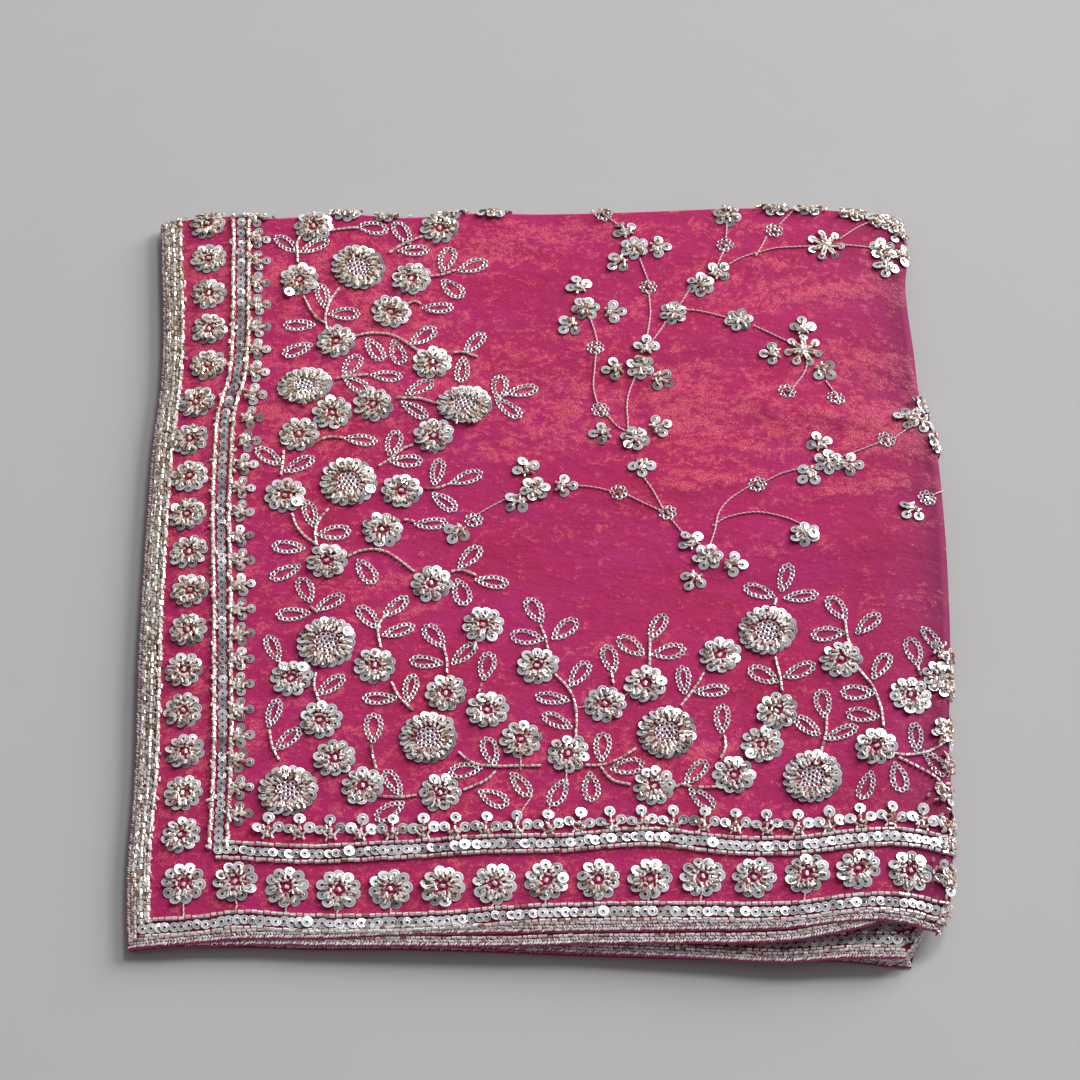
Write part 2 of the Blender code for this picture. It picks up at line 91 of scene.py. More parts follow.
# Creases of the crushed tissue, finer than the ridges: the same columns.
creases = (
    (300, 274, 8, 70, 7, 0.45), (296, 264, 6, 60, 6, -0.35), (388, 271, 9, 84, 7, 0.50),
    (384, 260, 7, 70, 8, -0.35), (398, 318, 14, 70, 8, 0.50), (392, 306, 12, 60, 7, -0.40),
    (404, 352, -6, 66, 9, 0.45), (398, 340, -4, 60, 7, -0.35), (392, 404, 9, 90, 8, 0.50),
    (384, 393, 7, 80, 7, -0.40), (350, 392, 12, 60, 8, 0.35), (330, 424, -10, 70, 9, 0.40),
    (236, 330, 62, 60, 9, 0.40), (252, 312, 20, 50, 8, -0.35), (300, 330, -35, 56, 9, 0.45),
    (312, 312, 8, 50, 8, -0.40), (340, 322, -48, 50, 8, 0.40), (210, 418, 6, 90, 10, 0.35),
    (196, 442, -4, 80, 9, 0.40), (240, 452, 3, 90, 8, -0.30), (160, 390, 30, 60, 9, 0.35),
    (118, 300, -12, 56, 8, 0.35), (206, 300, 14, 60, 9, -0.30), (180, 240, -18, 70, 9, 0.35),
    (250, 220, 8, 80, 9, 0.35), (330, 206, -8, 90, 9, -0.30), (400, 214, 16, 60, 8, 0.35),
    (256, 172, 14, 46, 8, 0.35), (300, 104, 10, 56, 8, 0.35), (180, 120, -14, 60, 9, 0.30),
    (120, 110, 20, 50, 8, -0.30), (140, 206, 22, 46, 7, 0.35), (390, 150, -20, 50, 8, 0.35),
    (36, 216, 16, 40, 7, 0.30), (36, 330, -14, 46, 7, 0.30), (34, 110, 8, 40, 7, -0.25),
    (92, 36, 10, 40, 7, 0.30), (210, 26, -8, 50, 7, 0.25), (330, 24, 12, 50, 7, 0.30),
)
# How far each ply's front edge reaches past the top one's: share of the width, millimetres.
frontReach = {
    "top": ((0.00, 0.0), (1.00, 0.0)),
    "second": ((0.00, 0.4), (0.06, 0.4), (0.13, 2.2), (0.24, 3.4), (0.34, 5.3), (0.47, 6.8),
               (0.56, 6.2), (0.80, 6.5), (0.88, 5.4), (0.92, 3.0), (0.96, -2.0), (1.00, -5.0)),
    "third": ((0.00, 0.0), (0.34, 3.4), (0.50, 8.0), (0.71, 12.4), (0.90, 17.0),
              (0.95, 17.2), (1.00, 14.0)),
    "bottom": ((0.00, -4.5), (0.06, -2.3), (0.14, 0.8), (0.30, 3.0), (0.44, 5.6), (0.56, 8.0),
               (0.67, 9.4), (0.78, 10.4), (0.85, 12.0), (0.90, 15.0), (0.95, 18.0),
               (1.00, 16.0)),
}
stackOffset = {"x": 0.0, "y": 0.0}     # from the rectangle's middle to the frame's origin


# Cubic through the knots, with each slope taken from the knots on both sides.
def smooth(knots, values, x):
    x = np.clip(np.asarray(x, float), knots[0], knots[-1])
    values = [np.broadcast_to(np.asarray(value, float), x.shape) for value in values]
    last = len(knots) - 1
    slopes = []
    for i in range(last + 1):
        low, high = max(i - 1, 0), min(i + 1, last)
        slopes.append((values[high] - values[low]) / (knots[high] - knots[low]))
    result = values[0].copy()
    for i in range(last):
        span = knots[i + 1] - knots[i]
        f = (x - knots[i]) / span
        piece = ((1 + 2 * f) * (1 - f) ** 2 * values[i] + f * (1 - f) ** 2 * span * slopes[i]
                 + f * f * (3 - 2 * f) * values[i + 1] + f * f * (f - 1) * span * slopes[i + 1])
        result = np.where(x >= knots[i], piece, result)
    return result


# A table of (place, millimetres) read as a smooth curve, in metres.
def reach(table, place):
    return smooth([row[0] for row in table], [row[1] for row in table], place) * mm


# Plan place of a share of the panel: the four sides' curves mixed, straight on past 0 and 1.
def planPoint(u, v):
    across, along = np.clip(u, 0, 1), np.clip(v, 0, 1)
    left = -cloth["width"] / 2 - reach(sides["left"], along)
    right = cloth["width"] / 2 + reach(sides["right"], along)
    front = -cloth["depth"] / 2 - reach(sides["front"], across)
    back = cloth["depth"] / 2 + reach(sides["back"], across)
    x = left * (1 - across) + right * across + (u - across) * cloth["width"]
    y = front * (1 - along) + back * along + (v - along) * cloth["depth"]
    return x + stackOffset["x"], y + stackOffset["y"]


# Height of the top face before its ridges: the rows' curves across, joined by curves along.
def faceHeight(u, v):
    across, along = np.clip(u, 0, 1), np.clip(v, 0, 1)
    rows = [smooth(heightShares, row[1], across) for row in heightRows]
    return smooth([row[0] for row in heightRows], rows, along) * mm


# Sum of height * exp(-(way along / half length)^2 - (way across / half width)^2), in metres.
def swell(table, s, t):
    total = np.zeros_like(s)
    for midS, midT, angle, length, width, height in table:
        turn = np.radians(angle)
        ds, dt = s - midS * mm, t - midT * mm
        along = (ds * np.cos(turn) + dt * np.sin(turn)) / (length * mm / 2)
        across = (dt * np.cos(turn) - ds * np.sin(turn)) / (width * mm / 2)
        total = total + height * mm * np.exp(-along ** 2 - across ** 2)
    return total


# The top ply's face: height plus ridges and creases, rolled over both folds by
# radius * sin(turn) outwards and radius * (1 - cos(turn)) down.
def topPoint(s, t):
    s, t = np.broadcast_arrays(np.asarray(s, float), np.asarray(t, float))
    turnS = np.maximum(s - cloth["width"], 0) / cloth["rightFoldRadius"]
    turnT = np.maximum(t - cloth["depth"], 0) / cloth["backFoldRadius"]
    nearS, nearT = np.minimum(s, cloth["width"]), np.minimum(t, cloth["depth"])
    u, v = nearS / cloth["width"], nearT / cloth["depth"]
    x, y = planPoint(u, v)
    z = faceHeight(u, v) + swell(ridges, nearS, nearT) + swell(creases, nearS, nearT)
    turn = np.maximum(turnS, turnT)
    length = np.maximum(np.hypot(turnS, turnT), 1e-9)
    wayS, wayT = turnS / length, turnT / length
    radius = cloth["rightFoldRadius"] * wayS ** 2 + cloth["backFoldRadius"] * wayT ** 2
    x = x + cloth["rightFoldRadius"] * np.sin(turn) * wayS
    y = y + cloth["backFoldRadius"] * np.sin(turn) * wayT
    return np.stack([x, y, z - radius * (1 - np.cos(turn))], axis=-1)


# Top of the hidden plies: the face, less the two plies and the gaps over it.
def layersTop(u, v):
    underSecond = cloth["wall"] + cloth["plyGap"] + cloth["plyWall"] + layers["topGap"]
    return faceHeight(u, v) - underSecond


# Height of the ledge where their lower half ends: a share of the way up to their top.
def shelfHeight(u, v):
    base = cloth["plyWall"] + cloth["seamGap"]
    return base + layers["shelfShare"] * (layersTop(u, v) - base)


# A lower ply's surface: the plan place, with the height that its own rule gives.
def plySurface(heightAt):
    def point(s, t):
        s, t = np.broadcast_arrays(np.asarray(s, float), np.asarray(t, float))
        u, v = s / cloth["width"], t / cloth["depth"]
        x, y = planPoint(u, v)
        return np.stack([x, y, heightAt(u, v)], axis=-1)
    return point


# The second ply lies a wall and a gap under the face, the third a wall above the ledge, and
# the bottom one a wall above the surface.
surfaces = {
    "top": topPoint,
    "second": plySurface(lambda u, v: faceHeight(u, v) - cloth["wall"] - cloth["plyGap"]),
    "third": plySurface(lambda u, v: shelfHeight(u, v) + cloth["seamGap"] + cloth["plyWall"]),
    "bottom": plySurface(lambda u, v: np.full_like(u, cloth["plyWall"])),
}


# The hidden plies, as one layered form.
layers = {
    "leftInset": 0.0120,
    "frontInset": 0.0070,
    "rightInset": 0.0010,
    "lowerRightInset": 0.0050,
    "backInset": -0.0008,
    "lowerSetback": 0.0036,
    "shelfShare": 0.48,
    "cornerRadius": 0.012,
    "topGap": 0.0006,
    "relief": 0.0017,          # how far a fold stands out from the groove beside it
    "fullReliefHeight": 0.008,
    "foldsPerHalf": 3,
    "stepsPerFold": 8,
    "sideCells": 60,
    "cornerCells": 6,
    "wander": 0.0005,          # how unevenly the folds lie on each other
    "waves": ((61, 0.7, 1), (23, 0.4, 0)),      # of that: along the run, up the rings, per half
    "lidShares": (0.93, 0.78, 0.58, 0.36, 0.15),
    "lustre": 0.25,
}
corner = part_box("top_edging")[0]
stackOffset["x"] = corner.x - topPoint(0.0, cloth["depth"])[0]
stackOffset["y"] = corner.y - topPoint(0.0, 0.0)[1]
print("cloth surfaces ready", round(stackOffset["x"], 6), round(stackOffset["y"], 6))


# A value in a material's tree: + - * and powers on it add Math nodes.
class Value:
    def __init__(self, tree, socket):
        self.tree = tree
        self.socket = socket

    def maths(self, operation, first, second=None):
        node = self.tree.nodes.new("ShaderNodeMath")
        node.operation = operation
        for place, part in enumerate((first, second)):
            if isinstance(part, Value):
                self.tree.links.new(part.socket, node.inputs[place])
            elif part is not None:
                node.inputs[place].default_value = part
        return Value(self.tree, node.outputs[0])

    def __add__(self, other):
        return self.maths("ADD", self, other)

    def __radd__(self, other):
        return self.maths("ADD", other, self)

    def __sub__(self, other):
        return self.maths("SUBTRACT", self, other)

    def __rsub__(self, other):
        return self.maths("SUBTRACT", other, self)

    def __mul__(self, other):
        return self.maths("MULTIPLY", self, other)

    def __pow__(self, other):
        return self.maths("POWER", self, other)

    def sine(self):
        return self.maths("SINE", self)

    def held(self):
        return self.maths("MINIMUM", self.maths("MAXIMUM", self, 0.0), 1.0)


# One material: its tree, its shader, and one way of adding any other node.
class Finish:
    def __init__(self, name, **sockets):
        self.material = bpy.data.materials.new(name)
        self.material.use_nodes = True
        self.tree = self.material.node_tree
        self.shader = self.tree.nodes["Principled BSDF"]
        for socket, value in sockets.items():
            self.shader.inputs[socket.replace("_", " ")].default_value = value

    def node(self, kind, settings=None, output=0, **sockets):
        node = self.tree.nodes.new(kind)
        for setting, value in (settings or {}).items():
            setattr(node, setting, value)
        for socket, value in sockets.items():
            place = int(socket[3:]) if socket.startswith("at_") else socket.replace("_", " ")
            self.put(value, node.inputs[place])
        return Value(self.tree, node.outputs[output])

    def put(self, value, socket):
        if isinstance(value, Value):
            self.tree.links.new(value.socket, socket)
        else:
            socket.default_value = value

    def feed(self, socket, value):
        self.put(value, self.shader.inputs[socket])

    def attribute(self, name):
        return self.node("ShaderNodeAttribute", {"attribute_name": name}, output=2)

    # Cloth places in metres, turned and stretched by the two scales.
    def clothPlace(self, scaleS, scaleT, turn=0.0):
        place = self.node("ShaderNodeUVMap", {"uv_map": "clothPlace"})
        return self.node("ShaderNodeMapping", Vector=place, Rotation=(0.0, 0.0, turn),
                         Scale=(scaleS, scaleT, 1.0))

    def noise(self, place, scale, detail=2.0, roughness=0.5):
        return self.node("ShaderNodeTexNoise", {"noise_dimensions": "3D"}, Vector=place,
                         Scale=scale, Detail=detail, Roughness=roughness)

    def objectPlace(self):
        return self.node("ShaderNodeTexCoord", output=3)

    def mixColour(self, share, first, second):
        return self.node("ShaderNodeMix", {"data_type": "RGBA"}, output=2,
                         at_0=share, at_6=first, at_7=second)

    def bump(self, height, distance, strength=1.0):
        self.feed("Normal", self.node("ShaderNodeBump", Height=height, Distance=distance,
                                      Strength=strength))


# Crushed tissue: magenta weave whose other thread glints coral along the creases.  The coral is
# partly the thread's own colour and partly painted sheen in the base colour; the sparks are painted
# highlights, and the darkening towards the right fold is painted shade.
tissue = {
    "magenta": (0.455, 0.016, 0.150, 1.0),
    "crimson": (0.430, 0.012, 0.085, 1.0),
    "coral": (0.760, 0.066, 0.122, 1.0),
    "glint": (1.000, 0.440, 0.430, 1.0),
    "reverse": (0.320, 0.012, 0.100, 1.0),
    "deep": (0.150, 0.005, 0.060, 1.0),      # painted shade near the right fold, where the cloth turns away from the light
    "deepMost": 0.75, "deepPower": 16.0,
    "threadPitch": 0.00045,
    "roughness": 0.60,
    "lustreRoughness": 0.42,
    # Noises over the cloth: scale along s and along t, turn, detail, roughness.
    "noises": {"folds": (34.0, 66.0, 0.30, 3.0, 0.55), "streaks": (96.0, 128.0, 0.35, 4.0, 0.66),
               "crush": (300.0, 370.0, -0.25, 3.0, 0.66),
               "flecks": (1450.0, 1650.0, 0.30, 2.0, 0.66),
               "sparks": (1500.0, 2300.0, 0.0, 1.0, 0.50),
               "clouds": (16.0, 24.0, 0.0, 4.0, 0.56)},
    # How steeply each of them turns the colour, and the level it turns about.
    "lustreGain": 1.50, "bodyLevel": 0.56, "streakGain": 5.4, "crushGain": 4.4,
    "fleckGain": 7.5, "fleckLevel": 0.38, "fleckRise": 0.14, "sparkGain": 8.0,
    "sparkLevel": 0.56, "cloudGain": 2.4, "cloudLevel": 0.7,
    # Shares of the coral and of the sparks: least, what the body adds, and coral without flecks.
    "coralShare": (0.10, 0.86, 0.10), "sparkShare": (0.05, 0.80),
    "reverseLustre": 0.45,
    "relief": {"weave": 0.12, "crush": 0.9, "streaks": 1.8, "folds": 5.5},
    "reliefDepth": 0.00030, "reliefStrength": 0.9,
}
# Where the coral sheen is painted most, standing for the coral thread catching the light: s, t,
# direction, length, width, strength.
lustrePatches = (
    (234, 326, 10, 70, 50, 0.75), (297, 322, -10, 70, 80, 0.95), (300, 275, 9, 70, 9, 1.00),
    (341, 322, -20, 40, 60, 0.55), (400, 352, -4, 90, 44, 0.85), (398, 318, 12, 100, 20, 0.85),
    (388, 270, 9, 96, 13, 1.00), (416, 250, 10, 30, 10, 0.60), (170, 434, 4, 160, 40, 0.80),
    (242, 450, 0, 110, 18, 0.65), (340, 450, 0, 110, 14, 0.50), (390, 404, 10, 110, 22, 0.95),
    (345, 420, -6, 90, 44, 0.50), (300, 400, 0, 110, 34, 0.50), (130, 390, 10, 90, 64, 0.70),
    (36, 216, 12, 40, 16, 0.70), (32, 400, 10, 34, 80, 0.80), (30, 300, 10, 34, 80, 0.70),
    (132, 213, 8, 60, 10, 0.80), (144, 197, 8, 46, 9, 0.80), (256, 171, 10, 60, 10, 0.75),
    (300, 104, 8, 66, 12, 0.85), (180, 82, 16, 60, 10, 0.60), (120, 118, 12, 40, 9, 0.50),
    (230, 250, 6, 120, 30, 0.35), (90, 330, 12, 90, 80, 0.72), (180, 350, 8, 110, 64, 0.62),
    (420, 430, -4, 40, 30, 0.45), (360, 60, 6, 110, 12, 0.50), (60, 120, 8, 40, 30, 0.45),
    (200, 300, 6, 80, 24, 0.60), (250, 380, 8, 70, 30, 0.50), (330, 230, 6, 120, 26, 0.35),
    (404, 304, 8, 120, 34, 1.00), (404, 196, 8, 70, 14, 0.55), (180, 30, 4, 160, 12, 0.35),
    (70, 420, 0, 90, 60, 0.60),
    (20, 400, 90, 170, 60, 0.50), (20, 250, 90, 170, 60, 0.60), (20, 110, 90, 150, 60, 0.55),
    (90, 250, 90, 300, 120, 0.36), (230, 90, 0, 420, 130, 0.36), (220, 20, 0, 420, 60, 0.38),
)


# The lustre at each place: 1 - the product of what each patch leaves dark.
def lustreAt(s, t):
    dark = np.ones_like(s)
    for midS, midT, angle, length, width, strength in lustrePatches:
        one = swell(((midS, midT, angle, length, width, 1.0),), s, t) / mm
        dark = dark * (1 - strength * one)
    return 1 - dark


# Body is how much coral sheen is painted, from the lustre, the streaks and the crush; flecks pass a
# limit that falls with it.
# The weave is the sine of the warp times the sine of the weft.
def tissueFinish(name, values, base, lively):
    look = Finish(name, Metallic=0.08, Sheen_Weight=0.05, Sheen_Roughness=0.35,
                  Sheen_Tint=(1.0, 0.42, 0.52, 1.0), Specular_IOR_Level=0.16)
    noise = {kind: look.noise(look.clothPlace(*row[:3]), 1.0, *row[3:])
             for kind, row in values["noises"].items()}
    body = (look.attribute("lustre") * lively * values["lustreGain"] - values["bodyLevel"]
            + (noise["streaks"] - 0.5) * values["streakGain"]
            + (noise["crush"] - 0.5) * values["crushGain"]).held()
    speckle = ((noise["flecks"] - 0.50) * values["fleckGain"] + values["fleckLevel"]
               + body * values["fleckRise"]).held()
    least, most, under = values["coralShare"]
    coral = speckle * (body * most + least) + body * under
    least, most = values["sparkShare"]
    # Painted highlights: sparks of the glint colour, more of them where the painted coral sheen is.
    sparkle = (((noise["sparks"] - values["sparkLevel"]) * values["sparkGain"]).held()
               * (body * most + least))
    cloud = (noise["clouds"] * values["cloudGain"] - values["cloudLevel"]).held()
    plain = look.mixColour(cloud, values["crimson"], base)
    shot = look.mixColour(coral, plain, values["coral"])
    across = look.node("ShaderNodeSeparateXYZ", Vector=look.clothPlace(1 / cloth["width"], 1.0))
    # Painted shade: the colour darkens towards the right fold, standing for the cloth turning away
    # from the light there.
    shot = look.mixColour(across.held() ** values["deepPower"] * values["deepMost"], shot,
                          values["deep"])
    look.feed("Base Color", look.mixColour(sparkle, shot, values["glint"]))
    look.feed("Roughness", values["roughness"]
              - coral * (values["roughness"] - values["lustreRoughness"]))
    threads = look.clothPlace(*[2 * np.pi / values["threadPitch"]] * 2)
    warp = look.node("ShaderNodeSeparateXYZ", Vector=threads)
    weft = look.node("ShaderNodeSeparateXYZ", output=1, Vector=threads)
    relief = values["relief"]
    height = warp.sine() * weft.sine() * relief["weave"]
    for kind in ("crush", "streaks", "folds"):
        height = height + noise[kind] * relief[kind]
    look.bump(height, values["reliefDepth"], values["reliefStrength"])
    return look.material


# Foil sequins: the tone of each says how light it is, and the lightest are mirrors.
foil = {"dark": (0.130, 0.125, 0.130, 1.0), "light": (0.990, 0.990, 1.000, 1.0),
        "roughness": 0.42, "mirrorRoughness": 0.20,
        "scuffs": 900.0, "scuffTone": 0.25, "scuffRoughness": 0.06, "scuffDepth": 0.00006}


# Colour and roughness both go with the tone, which the scuffs vary a little.
def sequinFinish(name, values):
    look = Finish(name, Metallic=0.40, Coat_Weight=0.10, Coat_Roughness=0.14)
    # The tone holds each copy's own tone, and also its painted ring shading and painted side
    # shading.
    tone = look.attribute("tone")
    scuff = look.noise(look.objectPlace(), values["scuffs"], 3.0)
    share = (tone + (scuff - 0.5) * values["scuffTone"]).held()
    look.feed("Base Color", look.mixColour(share, values["dark"], values["light"]))
    look.feed("Roughness", values["roughness"]
              - tone * (values["roughness"] - values["mirrorRoughness"])
              + scuff * values["scuffRoughness"])
    look.bump(scuff, values["scuffDepth"], 0.5)
    return look.material


# Silver-lined glass beads with a champagne cast, more golden towards the back and the left.
glass = {"dark": (0.380, 0.180, 0.120, 1.0), "light": (1.000, 0.970, 0.940, 1.0),
         "goldDark": (0.360, 0.200, 0.100, 1.0), "goldLight": (1.000, 0.925, 0.820, 1.0),
         "roughness": 0.18, "alongX": -1.0, "alongY": 1.8, "middle": 0.48,
         "clouds": 1100.0, "cloudTone": 0.4, "cloudRoughness": 0.12, "cloudDepth": 0.00008}


# Colour goes with the tone, between two pairs of colours that are mixed by the bead's place.
def beadFinish(name, values):
    look = Finish(name, Metallic=0.22, Coat_Weight=0.5, Coat_Roughness=0.12)
    # The tone holds each bead's own tone, and also its painted side shading.
    tone = look.attribute("tone")
    cloudy = look.noise(look.objectPlace(), values["clouds"], 2.0)
    place = look.objectPlace()
    x = look.node("ShaderNodeSeparateXYZ", Vector=place)
    y = look.node("ShaderNodeSeparateXYZ", output=1, Vector=place)
    gold = (x * values["alongX"] + y * values["alongY"] + values["middle"]).held()
    dark = look.mixColour(gold, values["dark"], values["goldDark"])
    light = look.mixColour(gold, values["light"], values["goldLight"])
    share = (tone + (cloudy - 0.5) * values["cloudTone"]).held()
    look.feed("Base Color", look.mixColour(share, dark, light))
    look.feed("Roughness", values["roughness"] + cloudy * values["cloudRoughness"])
    look.bump(cloudy, values["cloudDepth"], 0.6)
    return look.material


# Spun threads: their dull and their bright colour, how metallic, roughness and grain.
spun = {
    "silver": ((0.42, 0.20, 0.24, 1.0), (1.00, 0.98, 0.96, 1.0), 0.0, 0.34, 1500.0),
    "gold": ((0.36, 0.13, 0.06, 1.0), (0.85, 0.50, 0.28, 1.0), 0.50, 0.38, 1500.0),
    "bright": ((0.86, 0.72, 0.72, 1.0), (1.00, 1.00, 1.00, 1.0), 0.0, 0.34, 1500.0),
    "blush": ((0.50, 0.12, 0.20, 1.0), (0.86, 0.46, 0.50, 1.0), 0.0, 0.38, 1500.0),
    "piping": ((0.30, 0.010, 0.090, 1.0), (0.62, 0.055, 0.220, 1.0), 0.05, 0.50, 1100.0),
}


# The share of the bright colour is grain + tone, held between 0 and 1.
def threadFinish(name, dark, light, metallic, roughness, fineness):
    look = Finish(name, Metallic=metallic, Sheen_Weight=0.25)
    grain = look.noise(look.objectPlace(), fineness, 2.0)
    # A stitch's tone also holds its painted ring shading and painted side shading.
    share = ((grain - 0.50) * 2.2 + look.attribute("tone")).held()
    look.feed("Base Color", look.mixColour(share, dark, light))
    look.feed("Roughness", roughness + grain * 0.15)
    look.bump(grain, 0.00012, 0.8)
    return look.material


finishes = {
    "face": tissueFinish("clothFace", tissue, tissue["magenta"], 1.0),
    "reverse": tissueFinish("clothReverse", tissue, tissue["reverse"], tissue["reverseLustre"]),
    "sequin": sequinFinish("silverSequin", foil),
    "bead": beadFinish("champagneBead", glass),
}
for name, row in spun.items():
    finishes[name] = threadFinish(name + "Thread", *row)
print("finishes ready", len(finishes))


# A mesh from points and sets of faces with the same number of corners each: a face starts where
# the corners of all before it end.
def makePiece(name, points, faceSets, looks, faceLooks=None, tones=None, places=None,
              lustre=None, sharp=None):
    mesh = bpy.data.meshes.new(name)
    corners = np.concatenate([faces.ravel() for faces in faceSets]).astype(np.int32)
    counts = np.concatenate([np.full(len(faces), faces.shape[1]) for faces in faceSets])
    starts = np.concatenate([[0], np.cumsum(counts)[:-1]]).astype(np.int32)
    mesh.vertices.add(len(points))
    mesh.vertices.foreach_set("co", np.ascontiguousarray(points, np.float32).ravel())
    mesh.loops.add(len(corners))
    mesh.loops.foreach_set("vertex_index", corners)
    mesh.polygons.add(len(starts))
    mesh.polygons.foreach_set("loop_start", starts)
    mesh.update(calc_edges=True)
    mesh.validate()
    for look in looks:
        mesh.materials.append(finishes[look])
    if faceLooks is not None:
        mesh.polygons.foreach_set("material_index", faceLooks.astype(np.int32))
    for label, values in (("tone", tones), ("lustre", lustre)):
        if values is not None:
            layer = mesh.attributes.new(label, "FLOAT", "POINT")
            layer.data.foreach_set("value", np.asarray(values, np.float32).ravel())
    if places is not None:
        layer = mesh.uv_layers.new(name="clothPlace")
        layer.data.foreach_set("uv", places[corners].astype(np.float32).ravel())
    mesh.shade_smooth()
    if sharp is not None:
        mesh.set_sharp_from_angle(angle=np.radians(sharp))
    piece = bpy.data.objects.new(name, mesh)
    bpy.context.scene.collection.objects.link(piece)
    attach(piece, "root")
    return piece


# Quads between the rows and columns of a grid; wrapped columns join the last to the first.
def gridFaces(rows, columns, wrapped=False):
    row, column = np.meshgrid(np.arange(rows - 1), np.arange(columns - (not wrapped)),
                              indexing="ij")
    a = row * columns + column
    b = row * columns + (column + 1) % columns
    return np.stack([a, a + columns, b + columns, b], axis=-1).reshape(-1, 4)


# A sheet of cloth: the ply's surface at a grid of (s, t), with its wall on the inner side.
def makeSheet(ply, s, t, wall, look, flat, restsOn):
    points = surfaces[ply](s, t)
    piece = makePiece(ply + "_cloth", points.reshape(-1, 3), [gridFaces(*s.shape)], [look],
                      places=np.stack([s.ravel(), t.ravel()], axis=1),
                      lustre=lustreAt(s.ravel(), t.ravel()))
    thicken = piece.modifiers.new("wall", "SOLIDIFY")
    thicken.thickness = wall
    thicken.offset = -1.0
    "cloth_" + look
    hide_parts(ply + "_stretch")


# A ply's grid: t = front * (1 - share) + back * share, so that it follows its front line.
def plyGrid(firstS, lastS, front, lastT, cells):
    share = np.linspace(0, 1, cells[1] + 1)[None, :]
    s = np.linspace(firstS, lastS, cells[0] + 1)[:, None] + 0 * share
    t = front(s) * (1 - share) + lastT * share
    return s, t


# A ply's front line: minus how far its edge reaches there.
def frontOf(ply):
    return lambda s: -reach(frontReach[ply], s / cloth["width"])


# The top ply, out to its very edge and round both folds.
topSheet = {"cells": (146, 152), "foldCells": (10, 8), "edgeInset": 0.0008, "wall": 0.0007,
            "flat": (0.466, 0.437), "restsOn": "second_cloth"}


# Even steps over the flat, then steps of radius * turn round each fold.
def buildTop(values):
    lines = []
    for side, fold, cells, folds in zip(("width", "depth"), ("rightFold", "backFold"),
                                        values["cells"], values["foldCells"]):
        flat = np.linspace(values["edgeInset"], cloth[side], cells + 1)
        rounded = cloth[fold + "Radius"] * cloth[fold + "Turn"]
        lines.append(np.concatenate([flat, cloth[side]
                                     + rounded * (np.arange(1, folds + 1) / folds)]))
    s, t = np.meshgrid(*lines, indexing="ij")
    makeSheet("top", s, t, values["wall"], "face", values["flat"], values["restsOn"])


# The plies under it: what shows of them is their front edge and their left end.  Each has its
# start and end along s and its end along t, in metres, and how far its cloth starts inside that.
edgeInset = 0.0008
plies = {
    "second": {"start": 0.0015, "end": cloth["width"] - cloth["seamGap"], "inset": edgeInset,
               "back": cloth["depth"] - cloth["seamGap"], "cells": (120, 18), "wall": 0.0008,
               "look": "reverse", "flat": (0.463, 0.424), "restsOn": "folded_plies"},
    "third": {"start": 0.34 * cloth["width"], "end": 0.972 * cloth["width"], "inset": 0.0,
              "back": layers["frontInset"] - layers["relief"], "cells": (90, 12),
              "wall": 0.0008, "look": "face", "flat": (0.018, 0.269),
              "restsOn": "folded_plies"},
    "bottom": {"start": 0.0045, "end": 0.980 * cloth["width"], "inset": edgeInset,
               "back": cloth["depth"], "cells": (100, 12), "wall": cloth["plyWall"],
               "look": "reverse", "flat": (0.467, 0.412), "restsOn": "floor"},
}


# The cloth starts an inset behind the ply's own front line.
def buildPly(name, values):
    front = frontOf(name)
    s, t = plyGrid(values["start"] + values["inset"], values["end"],
                   lambda place: front(place) + edgeInset, values["back"], values["cells"])
    makeSheet(name, s, t, values["wall"], values["look"], values["flat"], values["restsOn"])


# Plan ring round the hidden plies: straight runs and round corners, inset on each side.
def layerRing(values, inset, lower):
    radius = values["cornerRadius"]
    left = values["leftInset"] + inset
    right = (values["lowerRightInset"] if lower else values["rightInset"]) + inset
    front, back = values["frontInset"] + inset, values["backInset"] + inset
    lowS, highS = left + radius, cloth["width"] - right - radius
    lowT, highT = front + radius, cloth["depth"] - back - radius
    runs = (((lowS, highS), (front, front), (highS, lowT), -90),
            ((highS + radius, highS + radius), (lowT, highT), (highS, highT), 0),
            ((highS, lowS), (highT + radius, highT + radius), (lowS, highT), 90),
            ((left, left), (highT, lowT), (lowS, lowT), 180))
    s, t = [], []
    for runS, runT, centre, startAngle in runs:
        s.append(np.linspace(runS[0], runS[1], values["sideCells"] + 1))
        t.append(np.linspace(runT[0], runT[1], values["sideCells"] + 1))
        step = np.arange(1, values["cornerCells"]) / values["cornerCells"]
        angle = np.radians(startAngle + 90 * step)
        s.append(centre[0] + radius * np.cos(angle))
        t.append(centre[1] + radius * np.sin(angle))
    s, t = np.concatenate(s), np.concatenate(t)
    if lower:
        pull = np.clip(1 - (t - front) / (cloth["depth"] / 3), 0, 1) ** 2
        t = t + (frontOf("bottom")(s) + values["lowerSetback"] - values["frontInset"]) * pull
    return s, t


